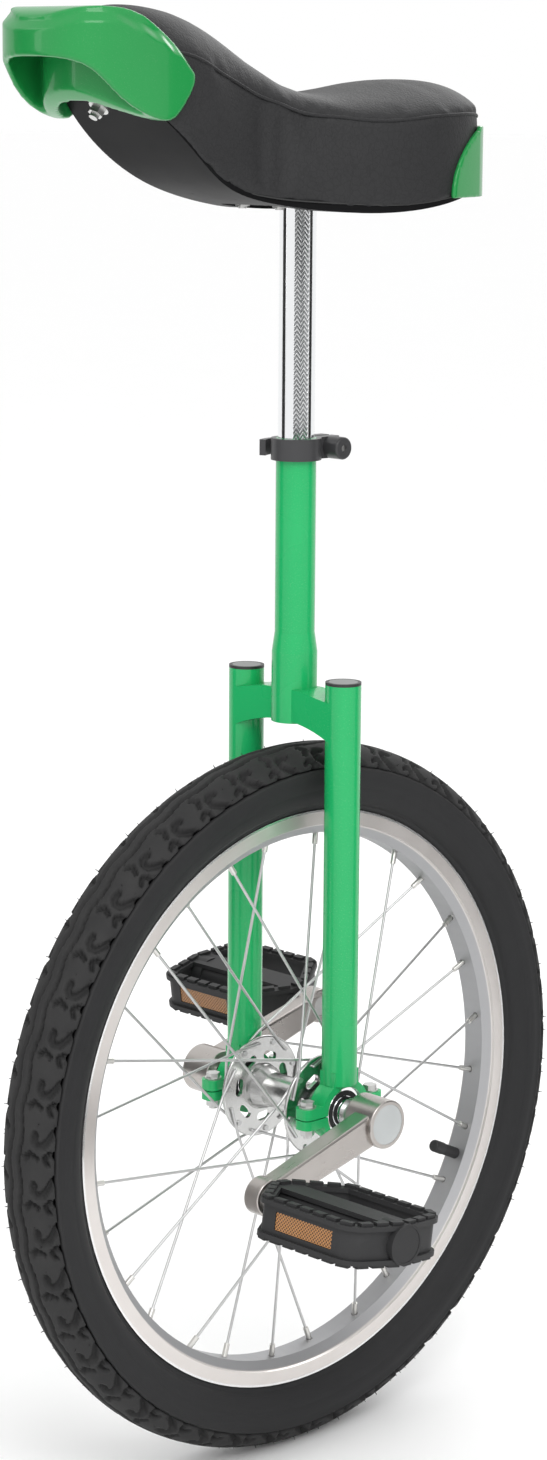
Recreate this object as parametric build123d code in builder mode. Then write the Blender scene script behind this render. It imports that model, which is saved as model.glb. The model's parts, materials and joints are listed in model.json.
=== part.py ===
from build123d import *
import os
from math import atan2, cos, degrees, radians, sin

os.makedirs("parts", exist_ok=True)

# Unicycle with a 20 inch wheel.  Millimetres.
# +Z is up, -Y is forwards (the saddle's horn), +X is the rider's left.
# The origin is the point on the ground under the middle of the axle.

# ---------------------------------------------------------------- clearances
running_gap = 0.05        # radial gap where one piece turns or slides in another
seat_gap = 0.05           # gap between pieces that are pressed or screwed together
soft_gap = 0.3            # gap between the padded pieces and what they sit on
ball_gap = 0.2            # gap between the bearing balls and their grooves

# --------------------------------------------------------------------- wheel
rim_edge_radius = 209.5   # ISO 406 rim: bead seat radius 203 plus the hook
rim_hook_height = 6.5
rim_width = 30.0
rim_wall = 1.8
rim_side_height = 10.5    # flat side of the rim, below its edge
rim_depth = 17.5          # edge to spoke bed
rim_bed_width = 17.0
rim_well_depth = 9.0      # edge to the floor between the beads
rim_well_width = 12.0
tyre_height = 46.5        # rim edge to the top of the tread
tyre_width = 52.0
tyre_side_wall = 2.8
tyre_tread = 6.0
tube_wall = 1.2
tube_room = 5.5           # between the inflated tube's sides and the casing
tape_thickness = 0.8
valve_angle = -25.2       # from the rear, upwards
valve_radius = 4.2
valve_reach = 16.0        # stem beyond the spoke bed
valve_cap_radius = 4.6
valve_cap_length = 11.0
sleeve_length = 16.2      # rim joint sleeve, opposite the valve
sleeve_width = 6.0
sleeve_height = 3.4

# -------------------------------------------------------------------- spokes
spoke_count = 28
spoke_crossings = 3
first_spoke_angle = -18.8
spoke_radius = 1.0
bend_radius = 1.1         # the wire swells a little where it is bent
spoke_hole_offset = 2.5   # rim holes stand to the left and right of the middle
flange_run = 21.0         # elbow to where the spoke has passed the flange's edge
nipple_radius = 2.0
nipple_length = 12.0
nipple_head_radius = 3.0
nipple_head_height = 2.2

# ----------------------------------------------------------- hub and bearings
flange_radius = 37.0
flange_spacing = 63.0
flange_thickness = 3.0
spoke_circle_radius = 32.5
flange_slots = 7
flange_slot_radius = 22.5
flange_slot_length = 13.0
flange_slot_width = 6.5
barrel_radius = 12.5
barrel_end_radius = 16.0
axle_radius = 8.5
taper_across = 12.6       # across the flats of the square, at the shoulder
taper_length = 20.0
taper_angle = 1.0         # each face of the square leans in by this
bearing_outer_radius = 17.5
bearing_width = 10.0
outer_race_wall = 2.4
inner_race_wall = 2.6
ball_radius = 2.3
balls_per_bearing = 10
seal_thickness = 0.8
spacer_radius = 10.8
outer_spacer_length = 6.0

# --------------------------------------------------------------------- frame
leg_spacing = 96.8
leg_outer_radius = 12.5
leg_wall = 1.5
leg_rise = 7.5            # leg top over the crown's top
leg_cap_thickness = 2.0
housing_width = 14.0
housing_wall = 5.5
cap_wall = 4.5
neck_height = 30.0        # axle to the foot of the leg tube
ear_reach = 38.5
ear_height = 8.0
cap_ear_height = 7.0
split_gap = 0.8
cap_bolt_offset = 31.0
cap_bolt_radius = 3.0
cap_bolt_head_radius = 5.0
cap_bolt_head_height = 3.4
tyre_clearance = 17.0     # tyre to the crown's underside
crown_height = 24.0
crown_shoulder_drop = 5.0
crown_arch_drop = 9.0
crown_depth = 25.0
seat_tube_wall = 1.25
seat_tube_foot_swell = 2.0
seat_tube_foot_height = 25.0
seat_tube_swage = 14.0
seat_tube_length = 174.0  # above the crown
tube_slot_width = 3.0
tube_slot_length = 32.0

# ------------------------------------------------------------ post and clamp
post_radius = 12.7
post_wall = 2.0
post_length = 255.0
collar_wall = 3.5
collar_height = 15.0
clamp_ear_width = 7.5
clamp_ear_reach = 19.0
clamp_slot = 2.4
skewer_radius = 2.5
skewer_offset = 11.0      # skewer axis behind the tube's surface
clamp_nut_radius = 7.8
clamp_nut_length = 13.0
lever_head_width = 11.0
lever_thickness = 4.5
lever_height = 11.0
lever_pin_radius = 4.0
lever_play = 0.6          # the lever's two cheeks stand this far from the skewer

# -------------------------------------------------------------------- saddle
saddle_clearance = 155.0  # collar top to the saddle's underside
saddle_nose = 198.0       # post axis to the pad's front end
saddle_tail = 138.0       # post axis to the pad's rear end
saddle_thickness = 77.0
nose_half_width = 47.0
waist_half_width = 39.0
tail_half_width = 76.0
cover_thickness = 1.6
cover_lift = 4.0          # the cover's lower edge over the base's underside
base_thickness = 13.0
plate_length = 92.0
plate_width = 56.0
plate_thickness = 3.0
stud_radius = 3.0
stud_spacing_x = 36.0
stud_spacing_y = 70.0
stud_nut_radius = 5.0
stud_nut_height = 5.0

# ------------------------------------------------------------------- bumpers
bumper_wall = 4.5
bumper_flare = 6.0        # bumper beyond the pad, each side
handle_depth = 41.0       # front of the handle beyond the pad's front end
wing_length = 55.0        # wings behind the pad's front end
inner_loop_gap = 6.0
rear_bumper_wall = 4.0
rear_bumper_foot = 9.0    # its lower edge over the saddle's floor
rear_bumper_height = 48.0
rear_bumper_lean = 27.0   # how far its front edges slant back towards the top
rear_bumper_wrap = 54.0   # how far it reaches round the sides
tail_screw_radius = 2.4
tail_screw_length = 16.0
tail_screw_height = 27.0
bumper_bolt_radius = 3.0
handle_bolt_setback = 21.0   # behind the pad's front end
handle_bolt_height = 72.0
handle_bolt_length = 14.0
bumper_bolt_head_radius = 5.2

# -------------------------------------------------------------------- cranks
crank_length = 118.0
crank_angle = 13.0        # the left crank points forwards and this far down
crank_inner_face = 70.0   # middle plane to the boss
crank_boss_radius = 17.3
crank_boss_width = 26.6
crank_arm_boss_half = 12.0
crank_arm_eye_half = 9.5
crank_arm_boss_face = 76.0   # middle plane to the arm's inner face, at the boss
crank_arm_thickness = 16.0
crank_eye_thickness = 14.0
crank_eye_radius = 13.0
crank_eye_outer_face = 100.0
crank_bolt_radius = 4.0
crank_bolt_head_radius = 7.0
dust_cap_radius = 14.2
dust_cap_thickness = 2.4

# -------------------------------------------------------------------- pedals
pedal_gap = 5.0           # crank eye to the pedal's inner end
pedal_length = 121.0
pedal_width = 88.0
pedal_height = 30.0       # over the tread blocks
pedal_tilt = 8.0
tread_plate = 3.2
tread_block_height = 2.2
tread_block_length = 9.0
tread_block_width = 5.0
tread_blocks = 27
tread_rail = 9.0
pedal_side_wall = 4.5
pedal_side_inset = 2.5
pedal_barrel_radius = 12.2
pedal_cap_radius = 12.0
pedal_cup_wall = 1.8
pedal_cup_depth = 20.0
pedal_cap_thickness = 2.5
reflector_offset = 67.0   # pedal's inner end to the middle of the reflector
reflector_length = 52.0
reflector_height = 12.0
reflector_thickness = 2.5
spindle_thread_radius = 7.1
spindle_collar_radius = 8.2
spindle_collar_length = 3.5
spindle_shaft_radius = 5.0
pedal_bush_radius = 7.5
pedal_bush_length = 14.0
spindle_nut_radius = 6.5
spindle_nut_height = 6.0

# ------------------------------------------------------------ derived places
tyre_outer_radius = rim_edge_radius + tyre_height
axle_height = tyre_outer_radius
bead_radius = rim_edge_radius - rim_hook_height
bed_radius = rim_edge_radius - rim_depth
well_radius = rim_edge_radius - rim_well_depth
leg_x = leg_spacing / 2
flange_x = flange_spacing / 2
crown_bottom = 2 * tyre_outer_radius + tyre_clearance
crown_top = crown_bottom + crown_height
leg_top = crown_top + leg_rise
neck_top = axle_height + neck_height
seat_tube_top = crown_top + seat_tube_length
collar_bottom = seat_tube_top - collar_height
clamp_height = seat_tube_top - collar_height / 2
seat_tube_radius = post_radius + running_gap + seat_tube_wall
seat_tube_foot_radius = seat_tube_radius + seat_tube_foot_swell
skewer_y = seat_tube_radius + skewer_offset
saddle_floor = seat_tube_top + saddle_clearance
plate_top = saddle_floor + base_thickness - 2.0
post_top = plate_top - plate_thickness
bumper_half_width = nose_half_width + bumper_flare
bumper_reach = saddle_nose + handle_depth
bumper_wing_end = saddle_nose - wing_length
crank_outer_face = crank_inner_face + crank_boss_width
pedal_inner_end = crank_eye_outer_face + pedal_gap
tread_half = pedal_height / 2

wheel_axis = Axis((0, 0, axle_height), (1, 0, 0))
wheel_section = Plane(origin=(0, 0, axle_height), x_dir=(1, 0, 0), z_dir=(0, -1, 0))
sides = {"left": 1, "right": -1}


def across(x):
    """Plane square to the axle at x; its own x runs to the rear and its y up."""
    return Plane(origin=(x, 0, axle_height), x_dir=(0, 1, 0), z_dir=(1, 0, 0))


def on_wheel(angle, radius, x=0.0):
    """A point of the wheel, by its angle from the rear and its distance from the axle."""
    turn = radians(angle)
    return Vector(x, radius * cos(turn), axle_height + radius * sin(turn))


def upright(x, y, z):
    """Level plane at a point."""
    return Plane(origin=(x, y, z))


# ============================================================ rim and tyre
half_rim = rim_width / 2
half_bed = rim_bed_width / 2
half_well = rim_well_width / 2
inner_half_rim = half_rim - rim_wall
side_foot = rim_edge_radius - rim_side_height


def spoke_list():
    """Every spoke: side, elbow and head at the hub, bend past the flange, seat at the rim."""
    result = []
    step = 360 / spoke_count
    for index in range(spoke_count):
        side = 1 if index % 2 == 0 else -1
        lead = 1 if index % 4 in (0, 1) else -1
        rim_angle = first_spoke_angle + index * step
        hub_angle = rim_angle + lead * spoke_crossings * 2 * step
        outwards = flange_thickness / 2 + spoke_radius + seat_gap
        elbow_x = side * (flange_x + lead * outwards)
        head_x = side * (flange_x - lead * (flange_thickness / 2 + seat_gap))
        elbow = on_wheel(hub_angle, spoke_circle_radius, elbow_x)
        head = on_wheel(hub_angle, spoke_circle_radius, head_x)
        seat = on_wheel(rim_angle, bed_radius, side * spoke_hole_offset)
        level = Vector(0, seat.Y - elbow.Y, seat.Z - elbow.Z).normalized()
        bend = elbow + level * flange_run
        result.append((side, elbow, head, bend, seat))
    return result


spokes = spoke_list()
valve_seat = on_wheel(valve_angle, well_radius)
valve_inwards = on_wheel(valve_angle, well_radius - 1) - valve_seat

with BuildPart() as rim:
    with BuildSketch(wheel_section):
        with BuildLine():
            Polyline(
                (half_rim, rim_edge_radius),
                (half_rim, side_foot),
                (half_rim - rim_wall, side_foot - 0.6),
                (half_bed, bed_radius),
                (-half_bed, bed_radius),
                (rim_wall - half_rim, side_foot - 0.6),
                (-half_rim, side_foot),
                (-half_rim, rim_edge_radius),
                (-inner_half_rim, rim_edge_radius),
                (-inner_half_rim, bead_radius),
                (-half_well - 1.5, bead_radius),
                (-half_well, well_radius),
                (half_well, well_radius),
                (half_well + 1.5, bead_radius),
                (inner_half_rim, bead_radius),
                (inner_half_rim, rim_edge_radius),
                close=True,
            )
        make_face()
        with BuildLine():
            Polyline(
                (half_bed - 0.6, bed_radius + rim_wall),
                (half_well - 0.4, well_radius - rim_wall),
                (0.4 - half_well, well_radius - rim_wall),
                (0.6 - half_bed, bed_radius + rim_wall),
                close=True,
            )
        make_face(mode=Mode.SUBTRACT)
    revolve(axis=wheel_axis)
    for side, elbow, head, bend, seat in spokes:
        with Locations(Plane(origin=seat, z_dir=seat - bend)):
            Cylinder(nipple_radius + 0.35, 3 * rim_wall, mode=Mode.SUBTRACT)
        with Locations(Plane(origin=seat, z_dir=seat - bend).offset(well_radius - bed_radius)):
            Cylinder(nipple_head_radius + 0.6, 3 * rim_wall, mode=Mode.SUBTRACT)
    with Locations(Plane(origin=valve_seat, z_dir=valve_inwards)):
        Cylinder(valve_radius + seat_gap, 6 * rim_wall + 2 * rim_depth, mode=Mode.SUBTRACT)
rim.part.label = "rim"
export_step(rim.part, "parts/rim.step")

with BuildPart() as rim_tape:
    with BuildSketch(wheel_section):
        with Locations((0, well_radius + seat_gap + tape_thickness / 2)):
            Rectangle(2 * half_well - 0.4, tape_thickness)
    revolve(axis=wheel_axis)
    with Locations(Plane(origin=valve_seat, z_dir=valve_inwards)):
        Cylinder(valve_radius + seat_gap, 6 * rim_wall, mode=Mode.SUBTRACT)
rim_tape.part.label = "rim_tape"
export_step(rim_tape.part, "parts/rim_tape.step")

# A pinned sleeve closes the rim's joint, opposite the valve.
sleeve_seat = on_wheel(valve_angle + 180, bed_radius + rim_wall + seat_gap)
sleeve_out = sleeve_seat - on_wheel(valve_angle + 180, 0)
with BuildPart() as rim_joint_sleeve:
    with BuildSketch(Plane(origin=sleeve_seat, x_dir=(1, 0, 0), z_dir=sleeve_out).offset(0.3)):
        RectangleRounded(sleeve_width, sleeve_length, 1.5)
    extrude(amount=sleeve_height)
rim_joint_sleeve.part.label = "rim_joint_sleeve"
export_step(rim_joint_sleeve.part, "parts/rim_joint_sleeve.step")

# The casing stands a little inside the rim's edges and bulges out above them.
half_tyre = tyre_width / 2
bead_x = inner_half_rim - 0.15
with BuildPart() as tyre:
    with BuildSketch(wheel_section):
        with BuildLine():
            outer_half = [
                (bead_x, rim_edge_radius + 0.3),
                (half_rim + 3.5, rim_edge_radius + 0.14 * tyre_height),
                (half_tyre, rim_edge_radius + 0.47 * tyre_height),
                (0.84 * half_tyre, rim_edge_radius + 0.80 * tyre_height),
                (0.42 * half_tyre, rim_edge_radius + 0.965 * tyre_height),
            ]
            mirrored_outer = [(-x, r) for x, r in reversed(outer_half)]
            Spline(outer_half + [(0, tyre_outer_radius)] + mirrored_outer)
            Polyline((-bead_x, rim_edge_radius + 0.3), (-bead_x, bead_radius + 0.15),
                     (tyre_side_wall - bead_x, bead_radius + 0.15),
                     (tyre_side_wall - bead_x, rim_edge_radius + 0.3))
            inner_half = [
                (bead_x - tyre_side_wall, rim_edge_radius + 0.3),
                (half_rim + 3.5 - tyre_side_wall, rim_edge_radius + 0.14 * tyre_height + 1.5),
                (half_tyre - tyre_side_wall, rim_edge_radius + 0.47 * tyre_height),
                (0.84 * half_tyre - tyre_side_wall, rim_edge_radius + 0.80 * tyre_height - 2.5),
                (0.42 * half_tyre, rim_edge_radius + 0.965 * tyre_height - tyre_tread),
            ]
            mirrored_inner = [(-x, r) for x, r in reversed(inner_half)]
            Spline(inner_half + [(0, tyre_outer_radius - tyre_tread)] + mirrored_inner)
            Polyline((bead_x - tyre_side_wall, rim_edge_radius + 0.3),
                     (bead_x - tyre_side_wall, bead_radius + 0.15),
                     (bead_x, bead_radius + 0.15), (bead_x, rim_edge_radius + 0.3))
        make_face()
    revolve(axis=wheel_axis)
tyre.part.label = "tyre"
export_step(tyre.part, "parts/tyre.step")

tube_top = tyre_outer_radius - tyre_tread - 1.0
tube_bottom = rim_edge_radius - 1.0
tube_radius = min((tube_top - tube_bottom) / 2, half_tyre - tyre_side_wall - tube_room)
tube_middle = tube_top - tube_radius
with BuildPart() as inner_tube:
    with BuildSketch(wheel_section):
        with Locations((0, tube_middle)):
            Circle(tube_radius)
            Circle(tube_radius - tube_wall, mode=Mode.SUBTRACT)
    revolve(axis=wheel_axis)
inner_tube.part.label = "inner_tube"
export_step(inner_tube.part, "parts/inner_tube.step")

stem_outer_end = tube_middle - tube_radius - 0.2
stem_inner_end = bed_radius - valve_reach
with BuildPart() as valve_stem:
    with BuildSketch(Plane(origin=on_wheel(valve_angle, stem_outer_end), z_dir=valve_inwards)):
        Circle(valve_radius)
    extrude(amount=stem_outer_end - stem_inner_end)
    with BuildSketch(Plane(origin=on_wheel(valve_angle, stem_inner_end), z_dir=valve_inwards)):
        Circle(valve_radius - 1.0)
    extrude(amount=valve_cap_length - 3.0)
valve_stem.part.label = "valve_stem"
export_step(valve_stem.part, "parts/valve_stem.step")

cap_plane = Plane(origin=on_wheel(valve_angle, stem_inner_end - seat_gap), z_dir=valve_inwards)
with BuildPart() as valve_cap:
    with BuildSketch(cap_plane):
        Circle(valve_cap_radius)
    extrude(amount=valve_cap_length)
    fillet(valve_cap.faces().sort_by(Axis((0, 0, 0), tuple(valve_inwards)))[-1].edges(), 2.0)
    with BuildSketch(cap_plane):
        Circle(valve_radius - 1.0 + seat_gap)
    extrude(amount=valve_cap_length - 2.5, mode=Mode.SUBTRACT)
valve_cap.part.label = "valve_cap"
export_step(valve_cap.part, "parts/valve_cap.step")

# ========================================================= spokes and nipples
for side_name, wanted in sides.items():
    with BuildPart() as spoke_set:
        for side, elbow, head, bend, seat in spokes:
            if side != wanted:
                continue
            for start, end in ((elbow, bend), (bend, seat)):
                with BuildSketch(Plane(origin=start, z_dir=end - start)):
                    Circle(spoke_radius)
                extrude(amount=(end - start).length)
                with Locations(Plane(origin=start)):
                    Sphere(bend_radius)
            through = head - elbow
            with BuildSketch(Plane(origin=elbow, z_dir=through)):
                Circle(spoke_radius)
            extrude(amount=through.length)
            with BuildSketch(Plane(origin=head, z_dir=through)):
                Circle(2 * spoke_radius)
            extrude(amount=spoke_radius)
    spoke_set.part.label = f"spokes_{side_name}"
    export_step(spoke_set.part, f"parts/spokes_{side_name}.step")

with BuildPart() as spoke_nipples:
    for side, elbow, head, bend, seat in spokes:
        run = (seat - bend).normalized()
        head_start = rim_wall + 0.8
        with BuildSketch(Plane(origin=seat - run * (nipple_length - head_start), z_dir=run)):
            Circle(nipple_radius)
            Circle(spoke_radius + seat_gap, mode=Mode.SUBTRACT)
        extrude(amount=nipple_length)
        with BuildSketch(Plane(origin=seat + run * head_start, z_dir=run)):
            Circle(nipple_head_radius)
            Circle(spoke_radius + seat_gap, mode=Mode.SUBTRACT)
        extrude(amount=nipple_head_height)
spoke_nipples.part.label = "spoke_nipples"
export_step(spoke_nipples.part, "parts/spoke_nipples.step")

# =============================================================== hub and axle
bearing_inner_face = leg_x - bearing_width / 2
bearing_outer_face = leg_x + bearing_width / 2
hub_end = flange_x + flange_thickness / 2 + 1.5
with BuildPart() as hub_shell:
    with BuildSketch(wheel_section):
        with BuildLine():
            Polyline(
                (0, axle_radius + seat_gap),
                (hub_end, axle_radius + seat_gap),
                (hub_end, barrel_end_radius - 2),
                (flange_x + flange_thickness / 2, barrel_end_radius),
                (flange_x + flange_thickness / 2, flange_radius),
                (flange_x - flange_thickness / 2, flange_radius),
                (flange_x - flange_thickness / 2, barrel_end_radius + 1),
                (flange_x - flange_thickness / 2 - 4, barrel_end_radius),
                (flange_x - flange_thickness / 2 - 12, barrel_radius),
                (0, barrel_radius),
                close=True,
            )
        make_face()
        mirror(about=Plane.YZ)
    revolve(axis=wheel_axis)
    for side in sides.values():
        rim_of_flange = hub_shell.edges().filter_by(GeomType.CIRCLE).filter_by(
            lambda e, s=side: abs(e.radius - flange_radius) < 0.01 and s * e.center().X > 0)
        fillet(rim_of_flange, 1.2)
        slot_step = 360 / flange_slots
        with BuildSketch(across(side * flange_x)):
            with PolarLocations(flange_slot_radius, flange_slots, start_angle=18.0):
                SlotOverall(flange_slot_length, flange_slot_width, rotation=90)
        extrude(amount=flange_thickness, both=True, mode=Mode.SUBTRACT)
    for side, elbow, head, bend, seat in spokes:
        with Locations(Plane(origin=(side * flange_x, elbow.Y, elbow.Z), z_dir=(1, 0, 0))):
            Cylinder(spoke_radius + 0.2, 3 * flange_thickness, mode=Mode.SUBTRACT)
hub_shell.part.label = "hub_shell"
export_step(hub_shell.part, "parts/hub_shell.step")

shoulder_x = crank_inner_face - 1.0
with BuildPart() as axle:
    with BuildSketch(across(-shoulder_x)):
        Circle(axle_radius)
    extrude(amount=2 * shoulder_x)
    for side in sides.values():
        end_plane = Plane(origin=(side * shoulder_x, 0, axle_height), x_dir=(0, 1, 0), z_dir=(side, 0, 0))
        with BuildSketch(end_plane):
            Rectangle(taper_across, taper_across, rotation=side * crank_angle)
        extrude(amount=taper_length, taper=taper_angle)
        with BuildSketch(end_plane.offset(taper_length)):
            Circle(crank_bolt_radius + seat_gap)
        extrude(amount=-14.0, mode=Mode.SUBTRACT)
axle.part.label = "axle"
export_step(axle.part, "parts/axle.step")

with BuildPart() as axle_spacers:
    for side in sides.values():
        for start, length in ((hub_end + seat_gap, bearing_inner_face - hub_end - 2 * seat_gap),
                              (bearing_outer_face + seat_gap, outer_spacer_length)):
            with BuildSketch(Plane(origin=(side * start, 0, axle_height), x_dir=(0, 1, 0),
                                   z_dir=(side, 0, 0))):
                Circle(spacer_radius)
                Circle(axle_radius + seat_gap, mode=Mode.SUBTRACT)
            extrude(amount=length)
axle_spacers.part.label = "axle_spacers"
export_step(axle_spacers.part, "parts/axle_spacers.step")

# =================================================================== bearings
inner_race_radius = axle_radius + seat_gap + inner_race_wall
outer_race_bore = bearing_outer_radius - outer_race_wall
ball_circle = (inner_race_radius + outer_race_bore) / 2
groove_radius = ball_radius + ball_gap


def race_profile(inner, outer, groove_centre):
    """Ring section between two radii, with the ball groove cut in it."""
    with Locations((0, (inner + outer) / 2)):
        Rectangle(bearing_width, outer - inner)
    with Locations((0, groove_centre)):
        Circle(groove_radius, mode=Mode.SUBTRACT)


with BuildPart() as bearing_outer_races:
    for side in sides.values():
        with BuildSketch(Plane(origin=(side * leg_x, 0, axle_height), x_dir=(1, 0, 0),
                               z_dir=(0, -1, 0))):
            race_profile(outer_race_bore, bearing_outer_radius, ball_circle)
        revolve(axis=wheel_axis)
bearing_outer_races.part.label = "bearing_outer_races"
export_step(bearing_outer_races.part, "parts/bearing_outer_races.step")

with BuildPart() as bearing_inner_races:
    for side in sides.values():
        with BuildSketch(Plane(origin=(side * leg_x, 0, axle_height), x_dir=(1, 0, 0),
                               z_dir=(0, -1, 0))):
            race_profile(axle_radius + seat_gap, inner_race_radius, ball_circle)
        revolve(axis=wheel_axis)
bearing_inner_races.part.label = "bearing_inner_races"
export_step(bearing_inner_races.part, "parts/bearing_inner_races.step")

with BuildPart() as bearing_balls:
    for side in sides.values():
        for index in range(balls_per_bearing):
            centre = on_wheel(index * 360 / balls_per_bearing, ball_circle, side * leg_x)
            with Locations(Plane(origin=centre)):
                Sphere(ball_radius)
bearing_balls.part.label = "bearing_balls"
export_step(bearing_balls.part, "parts/bearing_balls.step")

with BuildPart() as bearing_seals:
    for side in sides.values():
        for end in (-1, 1):
            middle = side * leg_x + end * (bearing_width / 2 - seal_thickness / 2 - 0.3)
            with BuildSketch(Plane(origin=(middle, 0, axle_height), x_dir=(1, 0, 0), z_dir=(0, -1, 0))):
                with Locations((0, ball_circle)):
                    Rectangle(seal_thickness, outer_race_bore - inner_race_radius - 0.6)
            revolve(axis=wheel_axis)
bearing_seals.part.label = "bearing_seals"
export_step(bearing_seals.part, "parts/bearing_seals.step")

# ========================================== bearing housings, caps and bolts
housing_bore = bearing_outer_radius + seat_gap
housing_radius = bearing_outer_radius + housing_wall
cap_radius = bearing_outer_radius + cap_wall
for side_name, side in sides.items():
    start = side * leg_x - housing_width / 2
    with BuildPart() as housing:
        with BuildSketch(across(start)) as arch:
            Circle(housing_radius)
            with Locations((0, ear_height / 2)):
                Rectangle(2 * ear_reach, ear_height)
            with Locations((0, neck_height / 2)):
                Rectangle(2 * leg_outer_radius - 1, neck_height)
            with Locations((0, split_gap / 2 - housing_radius)):
                Rectangle(4 * ear_reach, 2 * housing_radius, mode=Mode.SUBTRACT)
            Circle(housing_bore, mode=Mode.SUBTRACT)
        extrude(amount=housing_width)
        ear_corners = housing.edges().filter_by(Axis.Z).filter_by(
            lambda e: abs(abs(e.center().Y) - ear_reach) < 0.01)
        fillet(ear_corners, 5.0)
        with BuildSketch(upright(side * leg_x, 0, axle_height + bearing_outer_radius + 2.5)):
            Circle(leg_outer_radius)
        extrude(amount=neck_height - bearing_outer_radius - 2.5)
        with Locations((side * leg_x, -cap_bolt_offset, axle_height),
                       (side * leg_x, cap_bolt_offset, axle_height)):
            Cylinder(cap_bolt_radius + 0.2, 3 * ear_height, mode=Mode.SUBTRACT)
    housing.part.label = f"bearing_housing_{side_name}"
    export_step(housing.part, f"parts/bearing_housing_{side_name}.step")

    with BuildPart() as bearing_cap:
        with BuildSketch(across(start)):
            Circle(cap_radius)
            with Locations((0, -cap_ear_height / 2)):
                Rectangle(2 * ear_reach, cap_ear_height)
            with Locations((0, cap_radius - split_gap / 2)):
                Rectangle(4 * ear_reach, 2 * cap_radius, mode=Mode.SUBTRACT)
            Circle(housing_bore, mode=Mode.SUBTRACT)
        extrude(amount=housing_width)
        ear_corners = bearing_cap.edges().filter_by(Axis.Z).filter_by(
            lambda e: abs(abs(e.center().Y) - ear_reach) < 0.01)
        fillet(ear_corners, 5.0)
        with Locations((side * leg_x, -cap_bolt_offset, axle_height),
                       (side * leg_x, cap_bolt_offset, axle_height)):
            Cylinder(cap_bolt_radius + 0.2, 3 * ear_height, mode=Mode.SUBTRACT)
    bearing_cap.part.label = f"bearing_cap_{side_name}"
    export_step(bearing_cap.part, f"parts/bearing_cap_{side_name}.step")

bolt_top = axle_height + ear_height + seat_gap
nut_top = axle_height - cap_ear_height - seat_gap
with BuildPart() as bearing_cap_bolts:
    for side in sides.values():
        for y in (-cap_bolt_offset, cap_bolt_offset):
            with BuildSketch(upright(side * leg_x, y, bolt_top)):
                Circle(cap_bolt_head_radius + 1.0)
            extrude(amount=1.0)
            with BuildSketch(upright(side * leg_x, y, bolt_top + 1.0)):
                RegularPolygon(cap_bolt_head_radius, 6)
            extrude(amount=cap_bolt_head_height)
            with BuildSketch(upright(side * leg_x, y, bolt_top)):
                Circle(cap_bolt_radius)
            extrude(amount=-(bolt_top - nut_top + 7.0))
bearing_cap_bolts.part.label = "bearing_cap_bolts"
export_step(bearing_cap_bolts.part, "parts/bearing_cap_bolts.step")

with BuildPart() as bearing_cap_nuts:
    for side in sides.values():
        for y in (-cap_bolt_offset, cap_bolt_offset):
            with BuildSketch(upright(side * leg_x, y, nut_top)):
                RegularPolygon(cap_bolt_head_radius, 6)
                Circle(cap_bolt_radius + seat_gap, mode=Mode.SUBTRACT)
            extrude(amount=-5.0)
bearing_cap_nuts.part.label = "bearing_cap_nuts"
export_step(bearing_cap_nuts.part, "parts/bearing_cap_nuts.step")

# ====================================================== legs, crown, seat tube
for side_name, side in sides.items():
    with BuildPart() as leg:
        with BuildSketch(upright(side * leg_x, 0, neck_top)):
            Circle(leg_outer_radius)
            Circle(leg_outer_radius - leg_wall, mode=Mode.SUBTRACT)
        extrude(amount=leg_top - neck_top)
    leg.part.label = f"fork_leg_{side_name}"
    export_step(leg.part, f"parts/fork_leg_{side_name}.step")

with BuildPart() as leg_end_caps:
    for side in sides.values():
        with BuildSketch(upright(side * leg_x, 0, leg_top)):
            Circle(leg_outer_radius)
        extrude(amount=leg_cap_thickness)
        with BuildSketch(upright(side * leg_x, 0, leg_top)):
            Circle(leg_outer_radius - leg_wall - seat_gap)
        extrude(amount=-8.0)
leg_end_caps.part.label = "leg_end_caps"
export_step(leg_end_caps.part, "parts/leg_end_caps.step")

crown_front = Plane(origin=(0, crown_depth / 2, 0), x_dir=(1, 0, 0), z_dir=(0, -1, 0))
with BuildPart() as crown:
    with BuildSketch(crown_front):
        with BuildLine():
            Polyline(
                (-leg_x, crown_bottom - crown_arch_drop),
                (-leg_x, crown_top - crown_shoulder_drop),
                (-seat_tube_foot_radius, crown_top),
                (seat_tube_foot_radius, crown_top),
                (leg_x, crown_top - crown_shoulder_drop),
                (leg_x, crown_bottom - crown_arch_drop),
            )
            ThreePointArc((leg_x, crown_bottom - crown_arch_drop), (0, crown_bottom + 2.0),
                          (-leg_x, crown_bottom - crown_arch_drop))
        make_face()
    extrude(amount=crown_depth)
    for side in sides.values():
        with BuildSketch(upright(side * leg_x, 0, 0)):
            Circle(leg_outer_radius)
        extrude(amount=2 * crown_top, mode=Mode.SUBTRACT)
    with BuildSketch(upright(0, 0, 0)):
        Circle(seat_tube_foot_radius)
    extrude(amount=2 * crown_top, mode=Mode.SUBTRACT)
crown.part.label = "crown"
export_step(crown.part, "parts/crown.step")

foot_top = crown_top + seat_tube_foot_height
with BuildPart() as seat_tube:
    with BuildSketch(Plane.XZ):
        with BuildLine():
            Polyline(
                (post_radius + running_gap, crown_bottom),
                (seat_tube_foot_radius, crown_bottom),
                (seat_tube_foot_radius, foot_top),
                (seat_tube_radius, foot_top + seat_tube_swage),
                (seat_tube_radius, seat_tube_top),
                (post_radius + running_gap, seat_tube_top),
                close=True,
            )
        make_face()
    revolve(axis=Axis.Z)
    with BuildSketch(upright(0, seat_tube_radius, seat_tube_top)):
        Rectangle(tube_slot_width, seat_tube_radius)
    extrude(amount=-tube_slot_length, mode=Mode.SUBTRACT)
seat_tube.part.label = "seat_tube"
export_step(seat_tube.part, "parts/seat_tube.step")

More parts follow.
